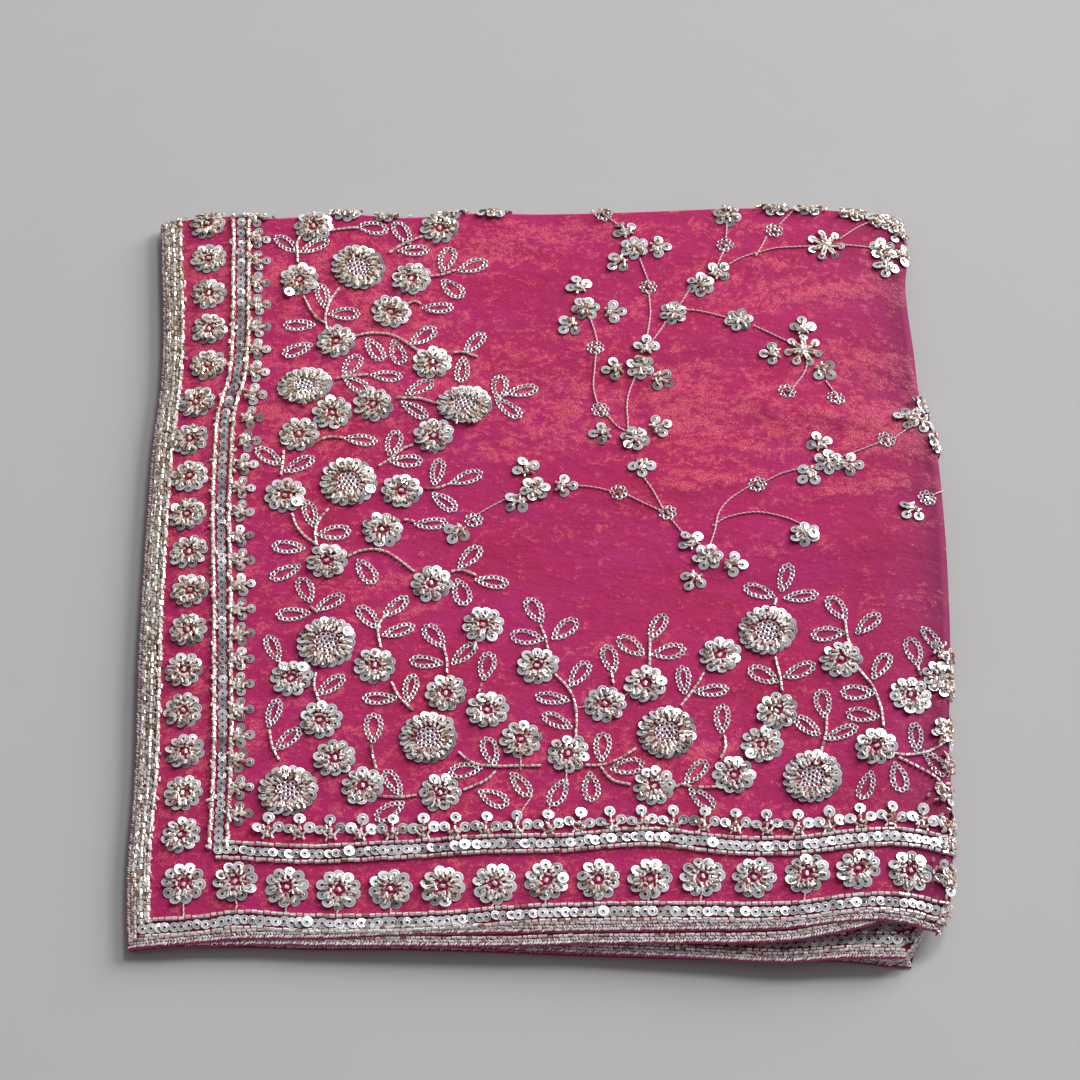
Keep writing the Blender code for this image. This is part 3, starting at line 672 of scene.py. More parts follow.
# The folded plies: rings up the stack, drawn in by relief * groove, where the groove is
# 1 - |sin| of the place in each fold, so that every fold is round and the grooves are sharp.
def buildLayers(values):
    base = cloth["plyWall"] + cloth["seamGap"]
    steps = values["foldsPerHalf"] * values["stepsPerFold"]
    share = np.arange(steps + 1) / steps
    groove = 1 - np.sqrt(np.abs(np.sin(np.pi * values["foldsPerHalf"] * share)))
    rings, placesS, placesT = [], [], []
    halves = ((0.0, values["shelfShare"]), (values["shelfShare"], 1.0))
    for half, (low, high) in enumerate(halves):
        crestS, crestT = layerRing(values, 0.0, half == 0)
        grooveS, grooveT = layerRing(values, values["relief"], half == 0)
        run = np.concatenate([[0], np.cumsum(np.hypot(np.diff(crestS), np.diff(crestT)))])
        room = layersTop(crestS / cloth["width"], crestT / cloth["depth"]) - base
        for i in range(steps + 1):
            wave = sum(np.sin(run * along + i * up + half * shift)
                       for along, up, shift in values["waves"])
            depth = groove[i] * np.clip(room / values["fullReliefHeight"], 0.1, 1)
            depth = np.clip(depth + values["wander"] / values["relief"] * 0.25 * (wave + 2), 0, 1)
            s = crestS + (grooveS - crestS) * depth
            t = crestT + (grooveT - crestT) * depth
            u, v = s / cloth["width"], t / cloth["depth"]
            height = base + (low + (high - low) * share[i]) * (layersTop(u, v) - base)
            rings.append(np.stack([*planPoint(u, v), height], axis=-1))
            placesS.append(run)
            placesT.append(np.full_like(run, (half + share[i]) * 0.05))
    edgeS, edgeT = layerRing(values, values["relief"], False)
    for lidShare in values["lidShares"]:
        u = 0.5 + (edgeS / cloth["width"] - 0.5) * lidShare
        v = 0.5 + (edgeT / cloth["depth"] - 0.5) * lidShare
        rings.append(np.stack([*planPoint(u, v), layersTop(u, v)], axis=-1))
        placesS.append(u)
        placesT.append(v)
    rings = np.array(rings)
    count = rings.shape[1]
    # Rings run anticlockwise from above and upwards, so each quad is turned to face out.
    around = gridFaces(len(rings), count, wrapped=True)[:, ::-1]
    lid = (len(rings) - 1) * count + np.arange(count)[None, :]
    floor = np.arange(count)[::-1][None, :]
    places = np.stack([np.concatenate(placesS), np.concatenate(placesT)], axis=1)
    piece = makePiece("folded_plies", rings.reshape(-1, 3), [around, lid, floor], ["reverse"],
                      places=places, lustre=np.full(len(places), values["lustre"]))
    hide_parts("folded_layers")
    return rings, run


buildTop(topSheet)
for name, values in plies.items():
    buildPly(name, values)
stackRings, stackRuns = buildLayers(layers)
print("cloth built")


# Rings of points: each (radius, height) of the profile carried round the upright axis.
def ringsOf(profile, sides):
    profile = np.array(profile, float)
    angle = 2 * np.pi * np.arange(sides) / sides
    radius, height = profile[:, :1], profile[:, 1:]
    return np.stack([radius * np.cos(angle), radius * np.sin(angle), height + 0 * angle],
                    axis=-1).reshape(-1, 3)


# A disc with a hole.  Its profile is closed, and runs outwards on top and inwards underneath,
# so that the faces point out.
def disc(profile, sides):
    rows = len(profile)
    return ringsOf(profile, sides), gridFaces(rows + 1, sides, wrapped=True) % (rows * sides)


# A solid one, laid lengthways: its ends are two quads each at six sides, or one at four.
def rod(profile, sides):
    ends = np.array(((0, 1, 2, 3), (0, 3, 4, 5)) if sides == 6 else ((0, 1, 2, 3),))
    faces = [gridFaces(len(profile), sides, wrapped=True)[:, ::-1], ends[:, ::-1],
             ends + (len(profile) - 1) * sides]
    return ringsOf(profile, sides)[:, [2, 0, 1]], np.concatenate(faces)


# What is sewn on.  A disc has radius 1, a rod length 1 and thickness 1.  The painted ring shading
# is how much lighter than the copy's own tone each ring of its points is: painted highlights on
# rims and tops, painted shade in the hole, the stamped ring, the ends and underneath.  The painted
# side shading is how much lighter one side is, going round the middle or the length in the plane of
# the two axes.
kinds = {
    # A sequin: hole, flat, stamped ring, raised rim, its outline and underside.
    "sequin": {"shape": disc(((0.20, 0.05), (0.46, 0.06), (0.60, -0.01), (0.86, 0.09),
                              (1.00, 0.05), (0.62, -0.09)), 10),
               "paintedRingShading": (-0.95, 0.30, -0.60, 0.34, -0.62, -0.80), "paintedSideShading": 0.18,
               "plane": (1, 0), "look": "sequin"},
    "ring": {"shape": disc(((0.52, 0.02), (0.78, 0.20), (1.00, 0.00)), 8),
             "paintedRingShading": (-0.22, 0.44, -0.28), "paintedSideShading": 0.24, "plane": (1, 0), "look": "sequin"},
    "bead": {"shape": rod(((0.50, -0.50), (0.50, 0.50)), 6),
             "paintedRingShading": (0.0, 0.0), "paintedSideShading": 0.42, "plane": (2, 1), "look": "bead"},
    "stitch": {"shape": rod(((0.20, -0.50), (0.50, 0.00), (0.20, 0.50)), 4),
               "paintedRingShading": (-0.2, 0.1, -0.2), "paintedSideShading": 0.26, "plane": (2, 1), "look": "silver"},
}
kinds["goldStitch"] = dict(kinds["stitch"], look="gold")


# The tone at each point of the copies, with its painted shading: tone + painted ring shading
# + painted side shading * cos(angle - the lighter side).
def copyTonesAndPaintedShading(values, rows):
    points = values["shape"][0]
    angle = np.arctan2(*points[:, values["plane"]].T)
    paintedRingShading = np.repeat(values["paintedRingShading"], len(points) // len(values["paintedRingShading"]))
    lighter = rng.uniform(0, 2 * np.pi, len(rows))
    return (rows[:, 9:10] + paintedRingShading
            + values["paintedSideShading"] * np.cos(angle[None] - lighter[:, None])).ravel()


# A point of a surface with three directions: along s turned by an angle, beside it, outwards.
def directionsAt(surface, s, t, turn):
    point = surface(s, t)
    along = surface(s + smallStep, t) - point
    beside = surface(s, t + smallStep) - point
    outward = np.cross(along, beside)
    outward /= np.linalg.norm(outward, axis=-1, keepdims=True)
    along /= np.linalg.norm(along, axis=-1, keepdims=True)
    beside = np.cross(outward, along)
    turn = np.asarray(turn)[..., None]
    heading = along * np.cos(turn) + beside * np.sin(turn)
    return point, heading, np.cross(outward, heading), outward


# Copies of a shape: each is scaled, leant about its heading (leanX) and across it (leanY),
# turned in the cloth's plane and lifted off it.
def layCopies(shape, surface, rows):
    s, t, turn, sizeX, sizeY, sizeZ, leanX, leanY, lift = rows[:, :9].T
    point, heading, side, outward = directionsAt(surface, s, t, turn)
    cosY, sinY = np.cos(leanY)[:, None], np.sin(leanY)[:, None]
    cosX, sinX = np.cos(leanX)[:, None], np.sin(leanX)[:, None]
    point = point + outward * lift[:, None]
    heading, outward = heading * cosY + outward * sinY, outward * cosY - heading * sinY
    side, outward = side * cosX + outward * sinX, outward * cosX - side * sinX
    x, y, z = (shape[:, i][None, :, None] for i in range(3))
    return (point[:, None] + x * (sizeX[:, None] * heading)[:, None]
            + y * (sizeY[:, None] * side)[:, None] + z * (sizeZ[:, None] * outward)[:, None])


# A tube of rings round a path: middle + radius * (cos * beside + sin * outward).
def tubeRings(points, outward, radius, sides):
    way = np.gradient(points, axis=0)
    way /= np.linalg.norm(way, axis=1, keepdims=True)
    beside = np.cross(outward, way)
    beside /= np.linalg.norm(beside, axis=1, keepdims=True)
    upward = np.cross(way, beside)
    angle = 2 * np.pi * np.arange(sides) / sides
    return points[:, None] + radius * (beside[:, None] * np.cos(angle)[None, :, None]
                                       + upward[:, None] * np.sin(angle)[None, :, None])


# A place on the side of the folded plies: metres round it, and rings upwards counted as
# millimetres; the four points about it are mixed by their nearness.
def stackPoint(run, height):
    run, height = np.broadcast_arrays(np.asarray(run, float), np.asarray(height, float))
    column = np.interp(run, stackRuns, np.arange(len(stackRuns)))
    row = height / mm
    i, j = np.floor(row).astype(int), np.minimum(column.astype(int), len(stackRuns) - 2)
    f, g = (row - i)[..., None], (column - j)[..., None]
    lower = stackRings[i, j] * (1 - g) + stackRings[i, j + 1] * g
    upper = stackRings[i + 1, j] * (1 - g) + stackRings[i + 1, j + 1] * g
    return lower * (1 - f) + upper * f


# The farthest places, round the right and the back fold, where something is sewn on.
foldEnds = (cloth["width"] + cloth["rightFoldRadius"] * cloth["rightFoldTurn"] - 0.0008,
            cloth["depth"] + cloth["backFoldRadius"] * cloth["backFoldTurn"] - 0.0003)


tubes = {"sides": 6, "tone": 0.4}
sharpAngle = 50.0         # edges of the sewn pieces stay sharp past this, in degrees


# What is sewn on one part of the cloth, gathered by kind and then made into joined meshes.
# Places and sizes come in millimetres and angles in radians.
# Nothing is kept past the ends.
class Sewing:
    def __init__(self, name, surface, ends=foldEnds):
        self.name = name
        self.surface = surface
        self.ends = ends
        self.rows = {kind: [] for kind in kinds}
        self.tubes = []

    # One row of values for each copy, with its lengths turned into metres.
    def sew(self, kind, s, t, turn, size, lift, leanX=0.0, leanY=0.0, tone=0.6):
        sizeX, sizeY, sizeZ = size
        parts = (s, t, turn, sizeX, sizeY, sizeZ, leanX, leanY, lift, tone)
        parts = np.stack(np.broadcast_arrays(*[np.atleast_1d(np.asarray(part, float))
                                               for part in parts]), axis=1)
        parts[:, [0, 1, 3, 4, 5, 8]] *= mm
        self.rows[kind].append(parts)

    # Round sequins: each leans over its neighbour, and the light ones are a little larger.
    # Light ones come in threes: half of the chance is each one's own, half its threesome's, and
    # the sum of two even chances up to a half is under x in 2 x^2 of the cases.
    def sequins(self, s, t, turn, diameter, lift, overlap=7.0, cup=-2.0, light=0.34,
                kind="sequin", greys=(0.32, 0.80)):
        count = np.size(s)
        shared = np.repeat(rng.random(count // 3 + 1), 3)[:count]
        bright = (rng.random(count) + shared) / 2 < np.sqrt(light / 2)
        tone = np.where(bright, rng.uniform(0.85, 1.0, count), rng.uniform(*greys, count))
        leanX = np.radians(overlap + rng.normal(0, 7.0, count))
        leanY = np.radians(cup + rng.normal(0, 7.0, count))
        half = diameter / 2 * (1 + 0.07 * bright)
        self.sew(kind, s, t, turn, (half, half, half), lift + 0.15 * bright, leanX, leanY, tone)

    # Beads, each rolled its own way about its axis.
    def beads(self, s, t, turn, length, thick, lift, leanY=0.0, bright=0.50, dull=(0.0, 0.65)):
        count = np.size(s)
        tone = np.where(rng.random(count) < bright, rng.uniform(0.9, 1.2, count),
                        rng.uniform(*dull, count))
        length = length * rng.uniform(0.92, 1.08, count)
        self.sew("bead", s, t, turn + rng.normal(0, 0.06, count), (length, thick, thick), lift,
                 rng.uniform(-0.5, 0.5, count), leanY, tone)

    # Loose beads at random between two distances from a middle and between two directions.
    def jumble(self, s, t, count, near, far, size, lift, directions=(0, 360), bright=0.45):
        radius = rng.uniform(near, far, count)
        angle = np.radians(rng.uniform(*directions, count))
        self.beads(s + radius * np.cos(angle), t + radius * np.sin(angle),
                   angle + rng.normal(0, 0.6, count), *size,
                   lift + rng.normal(0, 0.15, count), bright=bright)

    def tube(self, points, outward, radius, look):
        self.tubes.append((tubeRings(points, outward, radius, tubes["sides"]), look))

    # One joined mesh of the kinds asked for, with the tubes if "tube" is one of them.
    def build(self, ending, sewn, replaced=()):
        points, quads, looks, tones, caps, capLooks, used = [], [], [], [], [], [], []
        start = 0
        for kind in sewn:
            if not self.rows.get(kind):
                continue
            look = kinds[kind]["look"]
            used = used if look in used else used + [look]
            shape, faces = kinds[kind]["shape"]
            rows = np.concatenate(self.rows[kind])
            rows = rows[(rows[:, 0] < self.ends[0]) & (rows[:, 1] < self.ends[1])]
            corners = faces[None] + (np.arange(len(rows)) * len(shape))[:, None, None] + start
            points.append(layCopies(shape, self.surface, rows).reshape(-1, 3))
            quads.append(corners.reshape(-1, 4))
            looks.append(np.full(len(rows) * len(faces), used.index(look)))
            tones.append(copyTonesAndPaintedShading(kinds[kind], rows))
            start += len(rows) * len(shape)
        for rings, look in (self.tubes if "tube" in sewn else []):
            used = used if look in used else used + [look]
            count, sides = rings.shape[:2]
            quads.append(gridFaces(count, sides, wrapped=True) + start)
            points.append(rings.reshape(-1, 3))
            looks.append(np.full((count - 1) * sides, used.index(look)))
            tones.append(np.full(count * sides, tubes["tone"]))
            caps.append(np.array([np.arange(sides), count * sides - 1 - np.arange(sides)]) + start)
            capLooks += [used.index(look)] * 2
            start += count * sides
        faceSets = [np.concatenate(quads)] + ([np.concatenate(caps)] if caps else [])
        piece = makePiece(self.name + ending, np.concatenate(points), faceSets, used,
                          faceLooks=np.concatenate(looks + [np.array(capLooks, int)]),
                          tones=np.concatenate(tones), sharp=sharpAngle)
        if replaced:
            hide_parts(replaced)


# Places along a line at even steps; the last step is stretched to fit.
def spaced(start, end, pitch, jitter=0.0):
    count = max(1, int(round(abs(end - start) / pitch)))
    places = start + (end - start) * (np.arange(count) + 0.5) / count
    return places + rng.normal(0, 1, count) * jitter


# A table of (place, value) read as a smooth curve.
def readTable(table, place):
    return smooth([row[0] for row in table], [row[1] for row in table], place)


# The turn of a line whose offset changes along its run: its rise over two steps of a millimetre.
def slopeAngle(table, place):
    return np.arctan2(readTable(table, place + 1.0) - readTable(table, place - 1.0), 2.0)


# Along the front a run is s and a line gives t; along the left end it is the other way about.
def onSide(side, run, line):
    return (run, line) if side == "front" else (line, run)


sideTurns = {"front": 0.0, "left": np.pi / 2}


# Beaded edging: a braid of slanting silver stitches inside a piped edge, then a string of beads.
edging = {"braidPitch": 1.50, "braidAt": (1.55, 3.15), "stitch": (2.3, 1.25), "slant": 0.80,
          "tones": (0.25, 0.7, 0.95), "lift": 0.72, "jitter": 0.12, "stray": 0.15,
          "beadPitch": 2.7, "beadAt": 5.0, "bead": (2.25, 1.7), "bright": 0.6,
          "dull": (0.20, 0.75),
          "fillAt": (3.9, 6.5, 10.0), "fillPitch": 2.1, "fillFrom": 14, "fill": (2.1, 1.5, 1.0),
          "pipeOffset": 0.55, "pipeRadius": 0.55, "pipeStep": 4.0, "pipeLift": -0.25}
# The third ply's own rows show behind its edging: what, how far after its start and before its
# end, pitch, jitter, distance from the front line, size, lift, and how far each strays.
thirdRows = (("beads", 120, 2, 3.8, 0.15, 6.9, (2.9, 1.6), 0.75, 0.0),
             ("sequins", 150, 2, 4.9, 0.20, 10.8, (5.6,), 0.75, 0.0),
             ("beads", 150, 4, 3.8, 0.15, 14.8, (2.9, 1.6), 0.75, 0.0),
             ("sequins", 225, 2, 4.7, 0.30, 18.8, (5.6,), 0.85, 0.0),
             ("beads", 225, 2, 2.7, 0.40, 21.8, (2.6, 1.7), 1.00, 0.6))


# Stitches that slant both ways, then beads, each at its distance from the line.
def sewEdging(e, values, start, end, side, line):
    def place(run, offset):
        base = line(run * mm) / mm if callable(line) else np.full(len(run), float(line))
        return onSide(side, run, base + offset)

    along = sideTurns[side]
    length, thick = values["stitch"]
    for way, offset in zip((1, -1), values["braidAt"]):
        run = spaced(start, end, values["braidPitch"], values["jitter"])
        s, t = place(run, offset + rng.normal(0, values["stray"], len(run)))
        e.sew("stitch", s, t, along + way * values["slant"] + rng.normal(0, 0.2, len(run)),
              (length, thick, thick), values["lift"] + rng.normal(0, 0.1, len(run)),
              tone=rng.choice(values["tones"], len(run)))
    run = spaced(start, end, values["beadPitch"], values["jitter"])
    s, t = place(run, values["beadAt"] + rng.normal(0, values["stray"], len(run)))
    e.beads(s, t, along + rng.normal(0, 0.08, len(run)), *values["bead"], values["lift"],
            bright=values["bright"], dull=values["dull"])


# Piping: a tube along the line, sunk a little into the cloth.
def pipeEdge(e, values, s, t):
    point, _, _, outward = directionsAt(e.surface, s, t, np.zeros_like(s))
    e.tube(point + outward * values["pipeLift"] * mm, outward, values["pipeRadius"] * mm,
           "piping")


# Down the left end at first + inset, round the corner, and along the front line + inset.
def edgePath(inset, step, first, lastS, lastT, front):
    cornerT = float(front(np.array([first + inset]))[0]) + inset
    t = np.arange(lastT, cornerT, -step)
    s = np.arange(first + inset + step, lastS, step)
    return (np.concatenate([np.full(len(t), first + inset), [first + inset], s]),
            np.concatenate([t, [cornerT], front(s) + inset]))


# Each ply's edging: its left end, the runs up that end and along the front in millimetres, and
# the ends of its piping in metres.
def buildEdgings(values):
    inset, step = values["pipeOffset"] * mm, values["pipeStep"] * mm
    width, depth = cloth["width"] / mm, cloth["depth"] / mm
    bottomEnd = plies["bottom"]["end"]
    runs = (("top", 0.0, (5.5, depth + 2.5), (1.0, width + 9.0),
             (cloth["width"] + 0.009, cloth["depth"] + 0.003)),
            ("second", plies["second"]["start"], (5.5, depth - 2),
             (plies["second"]["start"] / mm + 1, width - 2),
             (cloth["width"] - 0.002, cloth["depth"] - 0.002)),
            ("bottom", plies["bottom"]["start"], (8.5, depth - 2),
             (plies["bottom"]["start"] / mm + 1, bottomEnd / mm),
             (bottomEnd, cloth["depth"] - 0.002)))
    for ply, first, leftRun, frontRun, lasts in runs:
        e = Sewing(ply + "_edging", surfaces[ply])
        sewEdging(e, values, *leftRun, "left", first / mm)
        sewEdging(e, values, *frontRun, "front", frontOf(ply))
        # Down the top ply's left end more beads are worked in between, each its own way.
        for offset in values["fillAt"] if ply == "top" else ():
            run = spaced(values["fillFrom"], depth + 2.5, values["fillPitch"], 0.4)
            e.beads(offset + rng.normal(0, 0.3, len(run)), run,
                    np.pi / 2 + rng.normal(0, 0.6, len(run)), *values["fill"], bright=0.35)
        pipeEdge(e, values, *edgePath(inset, step, first, *lasts, frontOf(ply)))
        e.build("_beads", ["bead", "stitch", "tube"], ply + "_edging")
    e = Sewing("third_edging", surfaces["third"])
    front = frontOf("third")
    start, end = plies["third"]["start"] / mm, plies["third"]["end"] / mm
    sewEdging(e, values, start, end, "front", front)
    s = np.arange(start * mm, end * mm, step)
    pipeEdge(e, values, s, front(s) + inset)
    for sort, after, before, pitch, jitter, offset, size, lift, stray in thirdRows:
        run = spaced(start + after, end - before, pitch, jitter)
        t, turn = front(run * mm) / mm + offset, 0.0
        if stray:
            t = t + rng.normal(0, stray, len(run))
            turn = rng.normal(0, stray, len(run))
        if sort == "beads":
            e.beads(run, t, turn, *size, lift)
        else:
            e.sequins(run, t, turn, *size, lift, overlap=0, cup=8)
    e.build("_beads", ["bead", "stitch", "sequin", "tube"], "third_edging")


buildEdgings(edging)
print("edgings built")

# Rows of sequins between two strings of beads.  Each has its side, where it starts, its line as
# (place along the side, distance from the side), its sequins' size, how many of them are light,
# the greys of the others, and its strings' distances as shares of the half width.
bands = {"sequinPitch": 4.1, "beadPitch": 3.45, "bead": (2.8, 2.15), "halfWidth": 4.5,
         "dull": (0.30, 0.80), "cup": {"front": -4.0, "left": 9.0},
         "bright": {"front": 0.75, "left": 0.5}, "fillPitch": 2.5, "fill": (2.3, 1.5, 1.3),
         "fillBright": 0.4, "sequinLift": 0.80, "beadLift": 0.90,
         # Chance for the sequins, the beads and the beads between: along, across, turn.
         "sequinChance": (0.3, 0.2, 0.4), "beadChance": (0.15, 0.15),
         "fillChance": (0.4, 0.8, 0.7)}
bandRows = {
    "outerFront": ("front", 6.5, ((0, 11), (38, 10), (58, 11), (87, 9), (128, 7.5), (161, 7.5),
                                  (180, 8.5), (200, 10), (227, 11), (278, 11), (343, 10),
                                  (389, 10.5), (425, 11)), 5.6, 0.50, (0.25, 0.85), (1.0, -1.0)),
    "outerLeft": ("left", 13, ((0, 8), (60, 8), (120, 8.4), (200, 8), (280, 7.8), (360, 8.2),
                               (461, 8)), 4.4, 0.14, (0.20, 0.60), (0.85, 0.0)),
    "innerFront": ("front", 46, ((44, 52), (90, 48), (142, 49), (194, 51), (226, 51), (272, 54),
                                 (319, 48), (381, 48), (425, 49)),
                   5.6, 0.48, (0.25, 0.85), (1.0, -1.0)),
    "innerLeft": ("left", 52, ((50, 47.5), (81, 47), (141, 46), (203, 44), (254, 41), (302, 40),
                               (326, 40), (349, 44), (374, 45), (412, 46), (461, 47)),
                  4.9, 0.22, (0.25, 0.70), (1.0, -1.0)),
}


# Each place is the run along the side and line(run) + offset from it.
def sewRow(e, values, side, start, line, sequin, light, greys, strings):
    end = {"front": cloth["width"] / mm + 9.0, "left": cloth["depth"] / mm + 2.5}[side]

    def place(run, offset):
        return onSide(side, run, readTable(line, run) + offset)

    def turnAt(run):
        slope = slopeAngle(line, run)
        return sideTurns[side] + (slope if side == "front" else -slope)

    along, across, turn = values["sequinChance"]
    run = spaced(start, end, values["sequinPitch"], along)
    s, t = place(run, rng.normal(0, across, len(run)))
    e.sequins(s, t, turnAt(run) + rng.normal(0, turn, len(run)), sequin, values["sequinLift"],
              overlap=0.0, cup=values["cup"][side], light=light, greys=greys)
    for share in strings:
        offset = values["halfWidth"] * share
        along, across = values["beadChance"]
        run = spaced(start, end, values["beadPitch"], along)
        s, t = place(run, offset + rng.normal(0, across, len(run)))
        e.beads(s, t, turnAt(run), *values["bead"], values["beadLift"],
                bright=values["bright"][side], dull=values["dull"])
        # The left end's strings have more beads strewn along them.
        if side == "left" and offset:
            along, across, turn = values["fillChance"]
            run = spaced(start, end, values["fillPitch"], along)
            s, t = place(run, offset + rng.normal(0, across, len(run)))
            e.beads(s, t, turnAt(run) + rng.normal(0, turn, len(run)), *values["fill"],
                    bright=values["fillBright"])


# The outer band stands in for its node with its sequins, the inner one with its beads.
def buildBands(values):
    for band, sequinsFor, beadsFor in (("outer", "outer_band", ()), ("inner", (), "inner_band")):
        e = Sewing(band + "_band", surfaces["top"])
        sewRow(e, values, *bandRows[band + "Front"])
        sewRow(e, values, *bandRows[band + "Left"])
        e.build("_sequins", ["sequin"], sequinsFor)
        e.build("_beads", ["bead"], beadsFor)


buildBands(bands)
print("bands built")


# Places round a middle: s + radius cos angle, t + radius sin angle * stretch.
def around(s, t, radius, angle, stretch=1.0):
    return s + radius * np.cos(angle), t + radius * np.sin(angle) * stretch


# Places (x, y) of a motif turned by an angle about its middle at (s, t).
def turnedAbout(s, t, turn, x, y):
    return s + x * np.cos(turn) - y * np.sin(turn), t + x * np.sin(turn) + y * np.cos(turn)


# Even directions round a middle: a random first one + 2 pi i / count.
def evenTurns(count, most=6.0):
    return rng.uniform(0, most) + 2 * np.pi * np.arange(count) / count


# Flower: sequins on a circle, thick beads from their holes inwards, a jumbled ring of beads,
# a centre bead and loose beads.  What is left to chance here, as in all that follows, is a
# normal draw in millimetres or radians round the even place.
flower = {"petals": 10, "petalRadius": 8.7, "sequin": 6.2,
          "spokeRows": ((7.5, 14), (5.4, 12)), "spoke": (2.4, 1.45), "spokeLift": 1.40,
          "spokeLean": -0.16, "ringRadius": 3.7, "ringBeads": 8, "ringBead": (2.1, 1.3),
          "thread": (3.0, 0.8, 0.8), "threadRadius": 6.0, "centre": (2.2, 1.9),
          "loose": (2.4, 1.35), "looseFrom": 4.4, "looseTo": 9.2,
          "below": (-170, -10), "few": 16,      # a few loose beads lie at its lower side only
          "lifts": {"petal": 0.80, "ring": 1.00, "thread": 0.6, "centre": 1.1, "loose": 1.80}}


def sewFlower(e, values, s, t, size=1.0, light=0.44, greys=(0.42, 0.95), loose=14):
    petals, lifts = values["petals"], values["lifts"]
    turn = evenTurns(petals, 2 * np.pi) + rng.normal(0, 0.04, petals)
    radius = values["petalRadius"] * size * (1 + rng.normal(0, 0.03, petals))
    e.sequins(*around(s, t, radius, turn), turn, values["sequin"] * size, lifts["petal"],
              overlap=10, light=light, greys=greys)
    length, thick = values["spoke"]
    for spokeRadius, spokes in values["spokeRows"]:
        spoke = turn[0] + 2 * np.pi * (np.arange(spokes) + 0.25) / spokes
        spoke = spoke + rng.normal(0, 0.07, spokes)
        e.beads(*around(s, t, spokeRadius * size + rng.normal(0, 0.35, spokes), spoke),
                spoke + rng.normal(0, 0.28, spokes), length * size, thick,
                values["spokeLift"] + rng.normal(0, 0.20, spokes), leanY=values["spokeLean"])
    beads = values["ringBeads"]
    ring = turn[0] + 2 * np.pi * (np.arange(beads) + 0.5) / beads + rng.normal(0, 0.08, beads)
    length, thick = values["ringBead"]
    e.beads(*around(s, t, values["ringRadius"] * size + rng.normal(0, 0.3, beads), ring),
            ring + np.pi / 2 + rng.normal(0, 0.35, beads), length * size, thick, lifts["ring"])
    half = 2 * np.pi * np.arange(petals) / petals + turn[0] + 0.3
    e.sew("goldStitch", *around(s, t, values["threadRadius"] * size, half), half + 0.5,
          values["thread"], lifts["thread"])
    e.beads(*around(s, t, rng.uniform(0, 0.5, 1), rng.uniform(0, 6, 1)), turn[:1],
            *values["centre"], lifts["centre"], bright=1.0)
    e.jumble(s, t, loose, values["looseFrom"] * size, values["looseTo"] * size,
             values["loose"], lifts["loose"],
             values["below"] if loose < values["few"] else (0, 360))


# Places are s, t.  The border flowers follow the two sides at an even pitch.
borderFlowers = {"frontLine": ((27, 34), (57, 32), (84, 29), (111, 27), (165, 27), (219, 29),
                               (273, 30), (327, 30), (382, 30), (425, 29)),
                 "leftLine": ((34, 27), (61, 28), (88, 27), (114, 26), (164, 25), (189, 27),
                              (215, 26), (240, 24), (291, 22), (313, 21), (335, 23), (359, 27),
                              (457, 27)),
                 "frontFirst": 30, "frontPitch": 27.0, "frontCount": 16,
                 "leftFirst": 62, "leftPitch": 24.7, "leftCount": 17,
                 "tied": 0.65, "tie": (11, 13, 15.5),       # threads run down to the band
                 "left": {"size": 0.90, "light": 0.26, "greys": (0.34, 0.84)},
                 "loose": (15, 30), "crowdedFrom": 150}
bigFlower = {"petals": 19, "petalRadius": 12.9, "sequin": 5.8, "bead": (2.5, 1.5),
             "beadRings": ((12.2, 28), (10.1, 28), (8.1, 22)), "beadLift": 1.55,
             "thread": (4.4, 0.9, 0.9), "threadRadius": 10.0,
             "loose": 16, "looseAt": (8.0, 13.6), "looseBead": (2.6, 1.4),
             "looseTurns": (-160, -20),
             "coreRings": ((0.0, 1), (2.5, 6), (5.1, 12)), "coreRing": 3.1, "coreLight": 0.75,
             "petalLean": 16, "petalLight": 0.30, "spokeLean": -0.10,
             "lifts": {"petal": 0.95, "thread": 0.9, "loose": 2.0, "core": 0.8}}
# Places of the large flowers, and how round each is: it is flattened where the cloth slopes.
bigFlowers = ((114, 424, 1.0), (83, 343, 0.72), (173, 328, 0.78), (109, 277, 1.0),
              (100, 174, 1.0), (82, 85, 0.95), (155, 115, 1.0), (281, 116, 1.0),
              (333, 178, 1.0), (357, 87, 1.0))
trailSize = {"size": 0.97, "loose": (14, 27), "crowdedFrom": 215}
trailFlowers = (
    (89, 454), (80, 417), (100, 372), (99, 323), (81, 310), (162, 453), (145, 418), (132, 394),
    (155, 358), (122, 329), (155, 308), (138, 272), (75, 270), (128, 246), (99, 226), (155, 211),
    (183, 184), (126, 160), (82, 153), (164, 142), (186, 131), (212, 158), (98, 127), (204, 113),
    (229, 104), (248, 134), (269, 146), (106, 104), (121, 87), (162, 82), (274, 84), (308, 163),
    (372, 157), (339, 128), (331, 108), (316, 90), (391, 102), (409, 135), (426, 150),
    (434, 119), (108, 468), (131, 469), (168, 469), (194, 469),
)


